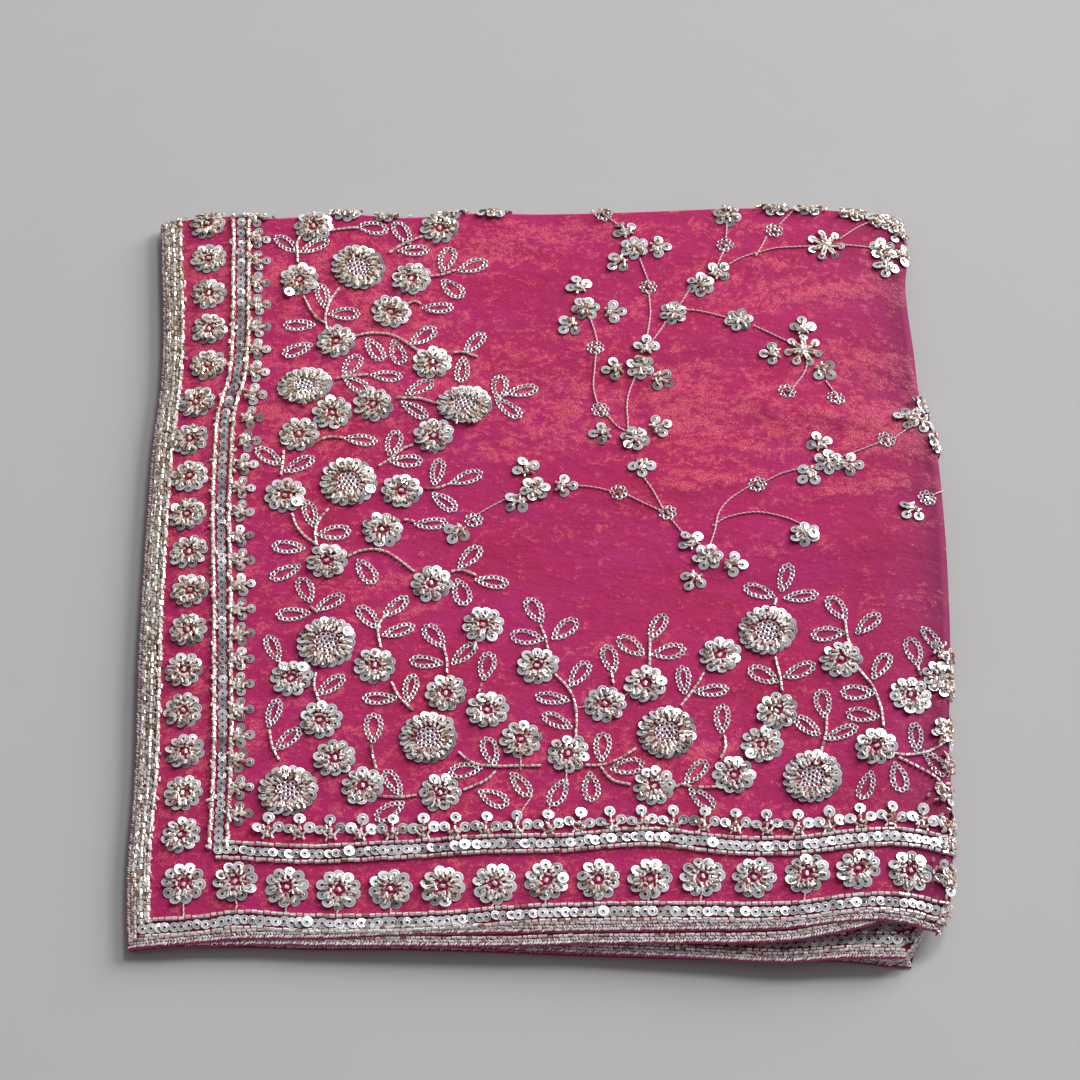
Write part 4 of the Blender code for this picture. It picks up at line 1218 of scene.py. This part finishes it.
# Petals, then rings of beads, loose beads below, and a core of ring sequins.
def sewBigFlower(e, values, s, t, stretch):
    petals, lifts = values["petals"], values["lifts"]
    turn = evenTurns(petals)
    radius = values["petalRadius"] + rng.normal(0, 0.25, petals)
    e.sequins(*around(s, t, radius, turn, stretch), turn, values["sequin"], lifts["petal"],
              overlap=values["petalLean"], light=values["petalLight"])
    for beadRadius, count in values["beadRings"]:
        spoke = 2 * np.pi * np.arange(count) / count + rng.normal(0, 0.05, count)
        e.beads(*around(s, t, beadRadius + rng.normal(0, 0.3, count), spoke, stretch),
                spoke + rng.normal(0, 0.28, count), *values["bead"],
                values["beadLift"] + rng.normal(0, 0.20, count), leanY=values["spokeLean"])
    e.sew("goldStitch", *around(s, t, values["threadRadius"], turn + 0.16, stretch), turn,
          values["thread"], lifts["thread"])
    e.jumble(s, t, values["loose"], *values["looseAt"], values["looseBead"], lifts["loose"],
             values["looseTurns"])
    for coreRadius, count in values["coreRings"]:
        angle = turn[0] + 2 * np.pi * np.arange(count) / count
        e.sequins(*around(s, t, coreRadius, angle, stretch), angle, values["coreRing"],
                  lifts["core"], overlap=6, cup=6, light=values["coreLight"], kind="ring")


# Small flower: six sequins round, each with two beads to the middle.
smallFlower = {"petals": 6, "radius": 5.5, "sequin": 5.8, "light": 0.35, "beadRadii": (4.0, 2.2),
               "bead": (2.2, 1.4), "centre": (1.9, 1.9), "loose": 14, "looseAt": (1.6, 6.2),
               "looseBead": (2.3, 1.4),
               "lifts": {"petal": 0.8, "bead": 1.35, "centre": 1.7, "loose": 1.9}}


def sewSmallFlower(e, values, s, t):
    turn, lifts = evenTurns(values["petals"]), values["lifts"]
    e.sequins(*around(s, t, values["radius"], turn), turn, values["sequin"], lifts["petal"],
              overlap=6, light=values["light"])
    for beadRadius in values["beadRadii"]:
        e.beads(*around(s, t, beadRadius, turn + 0.06), turn, *values["bead"], lifts["bead"])
    e.beads(*around(s, t, 0.0, turn[:1]), turn[:1], *values["centre"], lifts["centre"])
    e.jumble(s, t, values["loose"], *values["looseAt"], values["looseBead"], lifts["loose"])


# Star: long spokes of paired beads, set apart to both sides of each spoke, with a sequin at
# its tip.
star = {"spokes": 7, "radius": 8.7, "sequin": 4.8, "light": 0.35, "beadRadii": (2.2, 4.5, 6.8),
        "bead": (2.4, 1.4), "apart": 0.75, "centre": (2.0, 2.0),
        "lifts": {"tip": 0.8, "bead": 1.2, "centre": 1.7}}


def sewStar(e, values, s, t):
    spokes, lifts = values["spokes"], values["lifts"]
    turn = evenTurns(spokes)
    e.sequins(*around(s, t, values["radius"], turn), turn, values["sequin"], lifts["tip"],
              light=values["light"])
    for beadRadius in values["beadRadii"]:
        for side in (-1, 1):
            angle = turn + side * values["apart"] / beadRadius
            e.beads(*around(s, t, beadRadius, angle), angle + rng.normal(0, 0.25, spokes),
                    *values["bead"], lifts["bead"])
    e.beads(*around(s, t, 0.0, turn[:1]), turn[:1], *values["centre"], lifts["centre"],
            bright=1.0)


# Leaf: small ring sequins at even steps round a drop, x = L/2 cos a, y = W/2 sin a |cos a/2|^p,
# which is round at its tip and narrow at its foot.  A row is its middle and its direction.
leaf = {"length": 15.6, "width": (6.4, 9.4), "rings": 14, "ring": 3.0, "light": (0.20, 0.74),
        "greys": (0.42, 0.92), "tipPower": 0.6, "steps": 181, "lift": 0.45, "lean": 8,
        "startsWithin": 0.08}         # of a step along the outline
leaves = (
    (73, 443, 135), (89, 440, 25), (93, 404, 100), (105, 391, 0), (79, 385, 175), (78, 368, -160),
    (109, 355, 60), (112, 342, -35), (115, 305, -5), (123, 453, 0), (140, 451, 115),
    (146, 438, 0), (165, 430, 75), (180, 424, 20), (168, 409, -50), (159, 396, -5),
    (122, 367, -60), (135, 366, -75), (150, 377, 35), (179, 370, 50), (172, 352, -95),
    (129, 349, 0), (148, 341, 30), (145, 326, -40), (193, 339, 85), (206, 337, 15),
    (197, 325, -45), (133, 304, 75), (140, 292, 0), (157, 284, 80), (173, 279, 20),
    (161, 264, -45), (154, 250, 0), (65, 296, 140), (82, 290, 30), (89, 257, 105), (102, 244, 5),
    (78, 236, 170), (77, 220, -155), (120, 219, -60), (175, 227, 50), (171, 205, -75),
    (187, 211, -10), (88, 208, 110), (101, 199, 30), (82, 193, 180), (122, 190, 130),
    (72, 172, 110), (136, 197, 45), (138, 182, 20), (157, 178, 125), (153, 162, 170),
    (173, 166, 45), (185, 158, 80), (210, 193, 115), (206, 176, 170), (226, 181, 45),
    (234, 153, 60), (220, 138, 170), (223, 124, 150), (145, 146, 80), (103, 148, 40),
    (129, 140, 180), (73, 132, 75), (81, 116, 45), (126, 122, 90), (250, 162, 105),
    (261, 170, 140), (275, 182, 65), (281, 166, 10), (289, 148, 95), (304, 141, 5),
    (247, 108, 85), (188, 106, 105), (137, 89, 120), (136, 72, -145), (175, 95, -170),
    (190, 78, -30), (204, 86, -55), (224, 81, -115), (241, 84, -85), (260, 96, 10), (296, 92, 50),
    (299, 76, -45), (310, 124, 90), (329, 203, 155), (343, 211, 75), (351, 199, 5),
    (331, 150, 150), (350, 152, 25), (370, 190, 120), (386, 179, 45), (365, 174, 180),
    (393, 152, 65), (381, 136, 170), (384, 122, 165), (363, 131, 100), (355, 118, 135),
    (373, 112, 20), (410, 163, 105), (420, 173, 125), (412, 110, 90), (422, 97, -45),
    (385, 79, -110), (402, 84, -80),
)


def sewLeaf(e, values, s, t, angle):
    fine = np.linspace(0, 2 * np.pi, values["steps"])
    x = values["length"] / 2 * np.cos(fine)
    y = (rng.uniform(*values["width"]) / 2 * np.sin(fine)
         * np.abs(np.cos(fine / 2)) ** values["tipPower"])
    run = np.concatenate([[0], np.cumsum(np.hypot(np.diff(x), np.diff(y)))])
    within = values["startsWithin"]
    place = run[-1] * (np.arange(values["rings"]) + rng.uniform(-within, within)) / values["rings"]
    x, y = np.interp(place % run[-1], run, x), np.interp(place % run[-1], run, y)
    turn = np.radians(angle)
    e.sequins(*turnedAbout(s, t, turn, x, y), turn + np.arctan2(y, x), values["ring"],
              values["lift"], overlap=values["lean"], cup=0, light=rng.uniform(*values["light"]),
              kind="ring", greys=values["greys"])


# Fan: three sequins, a top one and two at its sides, with beads that meet at the foot.  Foot,
# top and side are places along the fan and beside it.
fan = {"sequin": 6.2, "foot": -6.8, "top": 5.3, "side": (-0.3, 5.4), "bead": (2.6, 1.3),
       "loose": 6}
leftFan = {"sequin": 5.2, "foot": -6.4, "top": 3.4, "side": (-1.4, 4.7), "bead": (2.4, 1.5),
           "loose": 16}
smallFan = {"sequin": 5.9, "foot": -4.9, "top": 4.6, "side": (-0.1, 4.8), "bead": (2.4, 1.45),
            "loose": 9}
# In all of them: how far out along each spoke its beads lie, the arch of beads at the foot and
# the threads that hold it.
fanParts = {"shares": (0.76, 0.46), "archTurns": (-62, 0, 62), "arch": (1.5, 2.6),
            "hold": (2.6, 1.1), "thread": (4.2, 0.8, 0.8), "looseShare": 0.36,
            "looseAt": (0.6, 3.4), "archLength": 0.8, "looseLength": 0.9,
            "lifts": {"tip": 0.80, "bead": 1.25, "arch": 0.9, "thread": 0.6, "loose": 1.75}}


def sewFan(e, values, s, t, angle, light=0.36, greys=(0.32, 0.80)):
    turn, lifts = np.radians(angle), fanParts["lifts"]
    sideX, sideY = values["side"]
    tips = np.array([(values["top"], 0.0), (sideX, sideY), (sideX, -sideY)])
    foot = np.array([values["foot"], 0.0])
    way = tips - foot
    spoke = np.arctan2(way[:, 1], way[:, 0])
    e.sequins(*turnedAbout(s, t, turn, *tips.T), turn + spoke, values["sequin"],
              lifts["tip"], light=light, greys=greys)
    length, thick = values["bead"]
    for share in fanParts["shares"]:
        e.beads(*turnedAbout(s, t, turn, *(foot + way * share).T), turn + spoke, length, thick,
                lifts["bead"])
    arch = np.radians(fanParts["archTurns"])
    archX, archY = fanParts["arch"]
    place = foot + np.stack([archX * np.cos(arch), archY * np.sin(arch)], axis=1)
    e.beads(*turnedAbout(s, t, turn, *place.T), turn + arch + np.pi / 2,
            length * fanParts["archLength"], thick, lifts["arch"])
    holdX, holdY = fanParts["hold"]
    place = foot + np.stack([holdX + 0 * arch, holdY * np.sin(arch)], axis=1)
    e.sew("goldStitch", *turnedAbout(s, t, turn, *place.T), turn + arch, fanParts["thread"],
          lifts["thread"])
    middle = turnedAbout(s, t, turn, *(foot + way[0] * fanParts["looseShare"]))
    e.jumble(*middle, values["loose"], *fanParts["looseAt"],
             (length * fanParts["looseLength"], thick), lifts["loose"])


fanRows = {"frontLine": ((73, 64), (121, 62), (202, 62), (250, 64), (283, 64), (332, 61),
                         (364, 60), (397, 61), (425, 62)), "frontFirst": 73,
           "frontPitch": 16.25, "frontCount": 23,
           "leftLine": ((64, 59), (141, 57), (203, 56), (267, 53), (334, 56), (446, 58),
                        (461, 58)), "leftFirst": 72, "leftPitch": 15.6, "leftCount": 26,
           "left": {"light": 0.22, "greys": (0.28, 0.74)}}


# A smooth curve through given points, read at even steps of its length.
def curveThrough(points, step):
    points = np.array(points, float)
    run = np.concatenate([[0], np.cumsum(np.hypot(*np.diff(points, axis=0).T))])
    place = np.linspace(0, run[-1], max(3, int(run[-1] / step) + 1))
    return smooth(run, points[:, 0], place), smooth(run, points[:, 1], place)


# Stem: beads end to end along the curve, with a gold thread under each.
stem = {"pitch": 2.9, "bead": (2.3, 1.45), "bright": 0.7, "dull": (0.30, 0.80),
        "thread": (3.6, 0.7, 0.7), "threadTurn": 0.25, "lifts": (0.80, 0.35)}
stems = (
    ((83, 450), (79, 444), (79, 436), (79, 429)), ((82, 405), (85, 397), (89, 389), (94, 385)),
    ((103, 409), (98, 402), (95, 394), (94, 387), (95, 380)),
    ((111, 375), (119, 378), (132, 378), (139, 374), (148, 366)),
    ((167, 364), (172, 364), (181, 360)),
    ((142, 400), (146, 402), (150, 399)), ((155, 419), (162, 419), (171, 422)),
    ((132, 436), (139, 442), (147, 446), (152, 448)), ((99, 450), (106, 451), (114, 452)),
    ((100, 346), (105, 347), (119, 349)), ((135, 334), (144, 334), (149, 333), (158, 329)),
    ((190, 331), (194, 333), (198, 334)), ((91, 304), (97, 307), (106, 306)),
    ((73, 300), (73, 292), (72, 283)), ((125, 288), (132, 294), (138, 300), (144, 303)),
    ((150, 274), (156, 273), (165, 276)), ((99, 260), (94, 253), (92, 245), (93, 236)),
    ((79, 258), (82, 249), (87, 242), (93, 237)), ((139, 253), (143, 253), (146, 251)),
    ((110, 228), (117, 232), (127, 233), (135, 229), (146, 219)),
    ((165, 218), (171, 219), (179, 215)), ((91, 197), (95, 193)), ((95, 156), (94, 148), (97, 138)),
    ((75, 164), (78, 160)), ((131, 192), (127, 184), (129, 171)),
    ((135, 150), (139, 141), (147, 132)), ((162, 171), (164, 162), (164, 154)),
    ((179, 173), (178, 168)), ((183, 148), (181, 141)), ((71, 122), (73, 111), (77, 103)),
    ((125, 112), (126, 105), (128, 97)), ((129, 81), (142, 80), (150, 81)),
    ((171, 106), (179, 99), (189, 97), (204, 97), (215, 97)), ((174, 83), (185, 88), (191, 94)),
    ((213, 184), (216, 175), (217, 168)), ((221, 153), (229, 143), (233, 130), (233, 113)),
    ((251, 153), (252, 146)), ((271, 175), (271, 164), (271, 157)),
    ((300, 152), (294, 141), (288, 132)), ((265, 107), (255, 100), (246, 97), (238, 97)),
    ((246, 96), (252, 88), (262, 85)), ((285, 83), (288, 85), (294, 83), (307, 83)),
    ((311, 114), (312, 107), (309, 100)), ((338, 198), (337, 194)),
    ((337, 161), (340, 148), (341, 140)), ((374, 182), (375, 173), (376, 167)),
    ((381, 151), (389, 139), (394, 124), (395, 114)), ((365, 123), (365, 114), (362, 102)),
    ((412, 154), (414, 148)), ((426, 167), (428, 161)),
    ((400, 98), (406, 98), (417, 102), (428, 112)), ((402, 96), (412, 92), (423, 87), (428, 75)),
)


def sewStem(e, values, points):
    beadLift, threadLift = values["lifts"]
    s, t = curveThrough(points, values["pitch"])
    midS, midT = (s[1:] + s[:-1]) / 2, (t[1:] + t[:-1]) / 2
    turn = np.arctan2(np.diff(t), np.diff(s))
    e.beads(midS, midT, turn, *values["bead"], beadLift, bright=values["bright"],
            dull=values["dull"])
    e.sew("goldStitch", midS, midT, turn + values["threadTurn"], values["thread"], threadLift)


# Sewing thread: a bright and a dull strand twisted together.
twine = {"strand": 0.27, "offset": 0.23, "pitch": 2.6, "step": 0.50, "lift": 0.55,
         "reach": 2.4, "strands": ((0.0, "bright"), (np.pi, "blush"))}


# Two strands round each other: middle + offset * (cos * beside + sin * outward) of the twist.
# Both ends are drawn out by the reach, to pass under what they are tied to.
def sewTwine(e, values, points):
    points = np.array(points, float)
    ends = np.array([points[0] - points[1], points[-1] - points[-2]])
    ends = values["reach"] * ends / np.linalg.norm(ends, axis=1, keepdims=True)
    points = np.vstack([points[0] + ends[0], points[1:-1], points[-1] + ends[1]])
    s, t = curveThrough(points, values["step"])
    turn = np.arctan2(np.gradient(t), np.gradient(s))
    point, _, beside, outward = directionsAt(e.surface, s * mm, t * mm, turn)
    run = np.arange(len(s)) * values["step"] * 2 * np.pi / values["pitch"]
    for phase, look in values["strands"]:
        swing = beside * np.cos(run + phase)[:, None] + outward * np.sin(run + phase)[:, None]
        path = point + outward * values["lift"] * mm + swing * values["offset"] * mm
        e.tube(path, outward, values["strand"] * mm, look)


# Places at first + pitch * i along a side, with their distance from it.
def evenRow(values, side):
    for i in range(values[side + "Count"]):
        run = values[side + "First"] + values[side + "Pitch"] * i
        yield run, readTable(values[side + "Line"], run)


# Flowers between the bands, and fans inside the inner one.
def buildBorder(values, fans):
    e = Sewing("border", surfaces["top"])
    for s, t in evenRow(values, "front"):
        t = t + rng.normal(0, 0.4)
        sewFlower(e, flower, s, t)
        if rng.random() < values["tied"]:
            near, middle, far = values["tie"]
            sewTwine(e, twine, ((s, t - near), (s + rng.normal(0, 0.5), t - middle), (s, t - far)))
    for t, s in evenRow(values, "left"):
        sewFlower(e, flower, s + rng.normal(0, 0.4), t,
                  loose=values["loose"][t > values["crowdedFrom"]], **values["left"])
    for s, t in evenRow(fans, "front"):
        sewFan(e, fan, s, t, 90 + rng.normal(0, 4))
    for t, s in evenRow(fans, "left"):
        sewFan(e, leftFan, s, t, rng.normal(0, 4), **fans["left"])
    e.build("_sequins", ["sequin"])
    e.build("_beads", ["bead", "goldStitch", "tube"])


# The trail: small and large flowers, leaves and stems, each at its own listed place.
def buildTrail(values):
    e = Sewing("trail", surfaces["top"])
    for s, t in trailFlowers:
        sewFlower(e, flower, s, t, size=values["size"],
                  loose=values["loose"][t > values["crowdedFrom"]])
    for row in bigFlowers:
        sewBigFlower(e, bigFlower, *row)
    for row in leaves:
        sewLeaf(e, leaf, *row)
    for points in stems:
        sewStem(e, stem, points)
    e.build("_sequins", ["sequin"])
    e.build("_rings", ["ring"])
    e.build("_beads", ["bead", "goldStitch"])


buildBorder(borderFlowers, fanRows)
print("border built")
buildTrail(trailSize)
print("trail built")

# Sprigs: fine twisted threads that carry small flowers, fans and rings over the middle.
threads = (
    ((246, 388), (248, 379), (249, 372)), ((248, 360), (247, 351), (246, 340), (247, 330)),
    ((252, 319), (257, 312), (263, 308)), ((277, 426), (280, 417), (281, 413)),
    ((281, 402), (281, 391), (280, 384), (278, 374)), ((288, 381), (283, 373), (280, 369)),
    ((270, 346), (266, 336), (263, 325), (262, 314)), ((302, 391), (309, 390), (323, 385)),
    ((341, 377), (351, 371), (362, 365)), ((299, 396), (305, 406)), ((322, 424), (324, 431)),
    ((326, 443), (327, 450)), ((328, 422), (336, 427), (344, 430)), ((344, 430), (348, 439)),
    ((359, 452), (367, 461)), ((344, 430), (353, 433), (362, 434), (376, 435)),
    ((391, 437), (407, 438)), ((393, 443), (402, 451), (411, 458)),
    ((368, 353), (365, 345), (359, 337)), ((378, 338), (380, 333)),
    ((234, 273), (241, 272), (250, 269)), ((260, 266), (269, 261), (276, 257)),
    ((284, 249), (288, 243)), ((269, 277), (274, 268), (278, 259)),
    ((181, 256), (187, 260), (195, 265)), ((303, 232), (306, 242), (307, 247)),
    ((307, 247), (309, 255), (316, 264), (326, 271)), ((335, 274), (344, 279), (360, 283)),
    ((378, 289), (387, 293), (397, 298)), ((408, 304), (416, 312), (423, 318)),
    ((307, 247), (313, 251), (329, 254), (344, 250), (351, 246)), ((426, 270), (430, 273)),
    ((257, 461), (265, 453)), ((219, 70), (218, 66)), ((209, 77), (205, 70), (203, 65)),
    ((204, 103), (204, 97)), ((228, 92), (228, 88)), ((127, 234), (127, 238)),
    ((234, 132), (239, 133)), ((257, 138), (261, 141)),
)
smallFlowers = (
    (244, 394), (273, 436), (273, 352), (265, 304), (210, 271), (294, 389), (331, 382),
    (369, 285), (302, 225), (354, 238), (311, 408), (328, 457), (416, 438), (424, 319),
    (356, 464), (376, 465), (401, 464), (416, 463), (426, 460), (433, 331), (433, 306),
)
stars = ((383, 436), (366, 361))
smallFans = (
    (241, 410, 105), (260, 391, 0), (234, 382, -140), (268, 449, 120), (264, 426, -140),
    (287, 436, 0), (277, 366, 85), (258, 351, -175), (285, 343, -35), (247, 308, 180),
    (279, 312, 20), (268, 285, -90), (205, 285, 110), (226, 273, 0), (200, 262, -135),
    (168, 243, -120), (322, 417, 45), (418, 426, -90), (428, 437, 0), (367, 377, 90),
    (348, 359, 180), (377, 347, -45), (365, 298, 105), (381, 283, -5), (358, 277, -140),
    (416, 318, 170), (293, 236, 125), (316, 220, -5), (294, 211, -120), (412, 255, -130),
)
rings = ((248, 366), (248, 324), (257, 461), (281, 408), (255, 268), (281, 255), (177, 251),
         (325, 436), (354, 446), (354, 333), (380, 328), (402, 301), (330, 272), (421, 266))


# Ring: small ring sequins round two beads, the second a step from the first.
smallRing = {"count": 8, "radius": 3.6, "sequin": 3.0, "light": 0.35, "bead": (2.0, 1.5),
             "second": (0.8, -1.0), "lifts": (0.45, 0.9)}


def sewRing(e, values, s, t):
    turn, (ringLift, beadLift) = evenTurns(values["count"]), values["lifts"]
    e.sequins(*around(s, t, values["radius"], turn), turn, values["sequin"], ringLift, overlap=6,
              cup=0, light=values["light"], kind="ring")
    stepS, stepT = values["second"]
    e.beads(np.array([s, s + stepS]), np.array([t, t + stepT]), turn[:2], *values["bead"],
            beadLift)


# Heaps of beads and sequins where the pattern goes over the right and the back fold:
# s, t, half length along s and along t, how many beads.
heaps = ((430, 331, 4, 7, 22), (430, 306, 4, 6, 18), (427, 165, 6, 7, 30), (428, 147, 5, 8, 30),
         (428, 119, 5, 7, 26), (429, 98, 4, 6, 20), (426, 79, 6, 7, 30), (428, 62, 6, 6, 28),
         (429, 49, 4, 5, 20), (426, 30, 6, 8, 34), (430, 12, 4, 5, 20), (27, 463, 9, 2, 26),
         (56, 463, 7, 2, 24), (108, 463, 9, 2, 30), (131, 463, 8, 2, 26), (168, 463, 9, 2, 30),
         (194, 463, 8, 2, 24), (257, 463, 5, 2, 12), (356, 462, 8, 2, 24), (376, 462, 8, 2, 24),
         (401, 461, 8, 3, 26), (416, 459, 6, 4, 28), (427, 452, 4, 5, 24))
# Their lift is the lowest and how much higher the others lie, and their brightness differs off
# and on the right fold: on it they have darker tones, as painted shade.
heap = {"bead": (2.4, 1.5), "lift": (0.9, 1.4), "dull": (0.0, 0.5), "sequin": 5.0,
        "sequinLift": 0.9, "beadsPerSequin": 6, "greys": (0.45, 0.80), "rightFold": 420,
        "bright": (0.40, 0.05), "light": (0.30, 0.15)}


# Places are strewn about the middle: s + reachS * x, t + reachT * y, with x and y normal and
# a half wide.
def sewHeap(e, values, s, t, reachS, reachT, count):
    def about(number):
        return s + rng.normal(0, 0.5, number) * reachS, t + rng.normal(0, 0.5, number) * reachT

    # On the right fold the beads and sequins get darker tones: painted shade.
    onRightFold = s > values["rightFold"]
    lowest, height = values["lift"]
    e.beads(*about(count), rng.uniform(0, np.pi, count), *values["bead"],
            lowest + rng.uniform(0, height, count), bright=values["bright"][onRightFold],
            dull=values["dull"])
    number = count // values["beadsPerSequin"]
    e.sequins(*about(number), rng.uniform(0, 6, number), values["sequin"],
              values["sequinLift"], light=values["light"][onRightFold], greys=values["greys"])


# Each row of a motif's table is one copy of it.
def buildSprigs():
    e = Sewing("sprig", surfaces["top"])
    motifs = ((sewHeap, heap, heaps), (sewSmallFlower, smallFlower, smallFlowers),
              (sewStar, star, stars), (sewFan, smallFan, smallFans), (sewRing, smallRing, rings))
    for sewMotif, values, rows in motifs:
        for row in rows:
            sewMotif(e, values, *row)
    for points in threads:
        sewTwine(e, twine, points)
    e.build("_sequins", ["sequin", "ring"])
    e.build("_beads", ["bead", "goldStitch"])
    e.build("_threads", ["tube"])


# What shows of the pattern on the folds below: clusters of beads and sequins at the crests.
# Each run is a side, its start and end in millimetres, how crowded it is, and the folds it is
# on, counted upwards.  A bead is its length, thickness and lift, a sequin its size and lift.
folds = {"clusterPitch": 21.0, "wander": 5.0, "beads": 9, "reach": 7.5, "sequins": 2,
         "bead": (2.5, 1.7, 0.85), "bright": 0.35, "sequin": (4.4, 0.6), "spread": 0.9,
         "lowestRow": 5.5,
         "ledge": {"rows": (24.05, 24.75), "beads": 90, "sequins": 9, "sequin": (4.4, 0.8)},
         "frontCells": (18, 8),       # the front's run starts and ends this far before its corner
         "runs": (("front", 0, 70, 1.2, (3, 4, 5)),
                  ("frontCorner", 0, 99, 3.2, (0, 1, 2, 3, 4, 5)),
                  ("right", 0, 60, 2.4, (0, 1, 2, 3, 4)), ("right", 60, 150, 1.5, (1, 2, 3)),
                  ("right", 150, 430, 0.6, (1, 2, 3)), ("back", 0, 210, 0.6, (1, 3, 4)),
                  ("back", 210, 395, 1.2, (1, 4)))}


# Clusters at even steps along a fold, each strewn to both sides of its middle.
def sewFold(e, values, start, end, row, share):
    middle = spaced(start, end, values["clusterPitch"] / share, values["wander"])
    beads = np.repeat(middle, values["beads"])
    beads = beads + rng.uniform(-1, 1, len(beads)) * values["reach"]
    rows = np.maximum(row + rng.normal(0, values["spread"], len(beads)), values["lowestRow"])
    e.beads(beads, rows, rng.normal(0, 0.8, len(beads)), *values["bead"],
            bright=values["bright"])
    sequins = np.repeat(middle, values["sequins"])
    sequins = sequins + rng.uniform(-1, 1, len(sequins)) * values["reach"]
    rows = np.full(len(sequins), max(float(row), values["lowestRow"]))
    e.sequins(sequins, rows, rng.uniform(0, 6, len(sequins)), *values["sequin"])


# A fold's crest is row (fold + 1/2) * steps per fold, and one further in the upper half.
def buildFolds(values):
    e = Sewing("folded", stackPoint, ends=(np.inf, np.inf))
    cells, perHalf = layers["sideCells"], layers["foldsPerHalf"]
    perRun = cells + layers["cornerCells"]
    far, near = values["frontCells"]
    spans = {"front": (cells - far, cells - near), "frontCorner": (cells - near, perRun),
             "right": (perRun, perRun + cells), "back": (2 * perRun, 2 * perRun + cells)}
    for side, start, end, share, places in values["runs"]:
        first, last = (stackRuns[corner] / mm for corner in spans[side])
        for place in places:
            row = (place + 0.5) * layers["stepsPerFold"] + place // perHalf
            sewFold(e, values, first + start, min(first + end, last), row, share)
    # The ledge between the two halves shows under the top ply's corner.
    first, last = (stackRuns[corner] / mm for corner in spans["frontCorner"])
    ledge = values["ledge"]
    beads, sequins = ledge["beads"], ledge["sequins"]
    e.beads(rng.uniform(first, last, beads), rng.uniform(*ledge["rows"], beads),
            rng.uniform(0, np.pi, beads), *values["bead"], bright=values["bright"])
    e.sequins(rng.uniform(first, last, sequins), rng.uniform(*ledge["rows"], sequins),
              rng.uniform(0, 6, sequins), *ledge["sequin"])
    e.build("_edge_sequins", ["sequin"])
    e.build("_edge_beads", ["bead"])


# Sequins that lie turned to the light: which way each leans, and by how many degrees.
glints = {"turn": 180.0, "lean": 11.0, "sequin": 6.4, "lift": 2.0,
          "places": ((81.5, 264.5), (121, 272), (111.4, 180), (277.4, 146.8), (227.5, 30),
                     (325, 102), (358.8, 237), (116, 48.5), (88, 158.8), (305, 49.5),
                     (176, 50.4), (95, 9), (250, 11), (74, 408))}


# Nothing about them is random, and their tone is 1.
def buildGlints(values):
    e = Sewing("glint", surfaces["top"])
    s, t = np.array(values["places"], float).T
    half = values["sequin"] / 2
    e.sew("sequin", s, t, np.radians(values["turn"]), (half, half, half), values["lift"],
          leanY=np.radians(values["lean"]), tone=1.0)
    e.build("_sequins", ["sequin"])


buildSprigs()
buildFolds(folds)
buildGlints(glints)
print("sprigs, folds and glints built")

# The floor, the lights and the camera: lengths in metres, powers in watts.
studio = {
    "floorSize": 6.0,            # half the floor's side
    "floor": (0.500, 0.490, 0.490, 1.0),
    "floorGrain": (0.490, 0.480, 0.480, 1.0),
    "world": (0.86, 0.88, 0.92, 1.0),
    "worldStrength": 0.27,
    "lights": {"key": {"place": (2.5, 4.4, 6.0), "size": 2.4, "power": 208.0},
               "side": {"place": (5.6, 4.6, 3.0), "size": 4.4, "power": 800.0}},
}
view = {"elevation": np.radians(57.0), "distance": 2.2825, "target": (-0.00128, 0.02331, 0.0),
        "lens": 137.86, "sensor": 36.0}


# Both look along their own -Z: tipped up by arctan(flat / -height) of the way to the target,
# then turned by arctan(-x / y) of it.
def aim(thing, place, target):
    thing.location = place
    way = np.array(target) - np.array(place)
    flat = np.hypot(way[0], way[1])
    thing.rotation_euler = (np.arctan2(flat, -way[2]), 0.0, np.arctan2(-way[0], way[1]))
    bpy.context.scene.collection.objects.link(thing)


# The floor is one square about the origin, at the part's underside.
def buildStudio(values):
    size = values["floorSize"]
    corners = [(-size, -size, 0.0), (size, -size, 0.0), (size, size, 0.0), (-size, size, 0.0)]
    look = Finish("floorPaper", Roughness=0.9)
    grain = look.noise(look.objectPlace(), 40.0, 3.0)
    look.feed("Base Color", look.mixColour(grain, values["floor"], values["floorGrain"]))
    mesh = bpy.data.meshes.new("floor")
    mesh.from_pydata(corners, [], [(0, 1, 2, 3)])
    mesh.materials.append(look.material)
    floor = bpy.data.objects.new("floor", mesh)
    bpy.context.scene.collection.objects.link(floor)
    world = bpy.data.worlds.new("studioWorld")
    world.use_nodes = True
    background = world.node_tree.nodes["Background"].inputs
    background["Color"].default_value = values["world"]
    background["Strength"].default_value = values["worldStrength"]
    bpy.context.scene.world = world
    for name, settings in values["lights"].items():
        light = bpy.data.lights.new(name + "Light", "AREA")
        light.shape = "DISK"
        light.size = settings["size"]
        light.energy = settings["power"]
        aim(bpy.data.objects.new(name + "Light", light), settings["place"], (0.0, 0.0, 0.0))


# The camera stands at target + distance * (0, -cos, sin) of its elevation.
def buildCamera(values):
    camera = bpy.data.cameras.new("camera")
    camera.sensor_width = values["sensor"]
    camera.lens = values["lens"]
    thing = bpy.data.objects.new("camera", camera)
    target = np.array(values["target"])
    away = np.array([0.0, -np.cos(values["elevation"]), np.sin(values["elevation"])])
    aim(thing, tuple(target + values["distance"] * away), tuple(target))
    bpy.context.scene.camera = thing


buildStudio(studio)
buildCamera(view)
bpy.context.scene.view_settings.view_transform = "Standard"
print("studio ready")
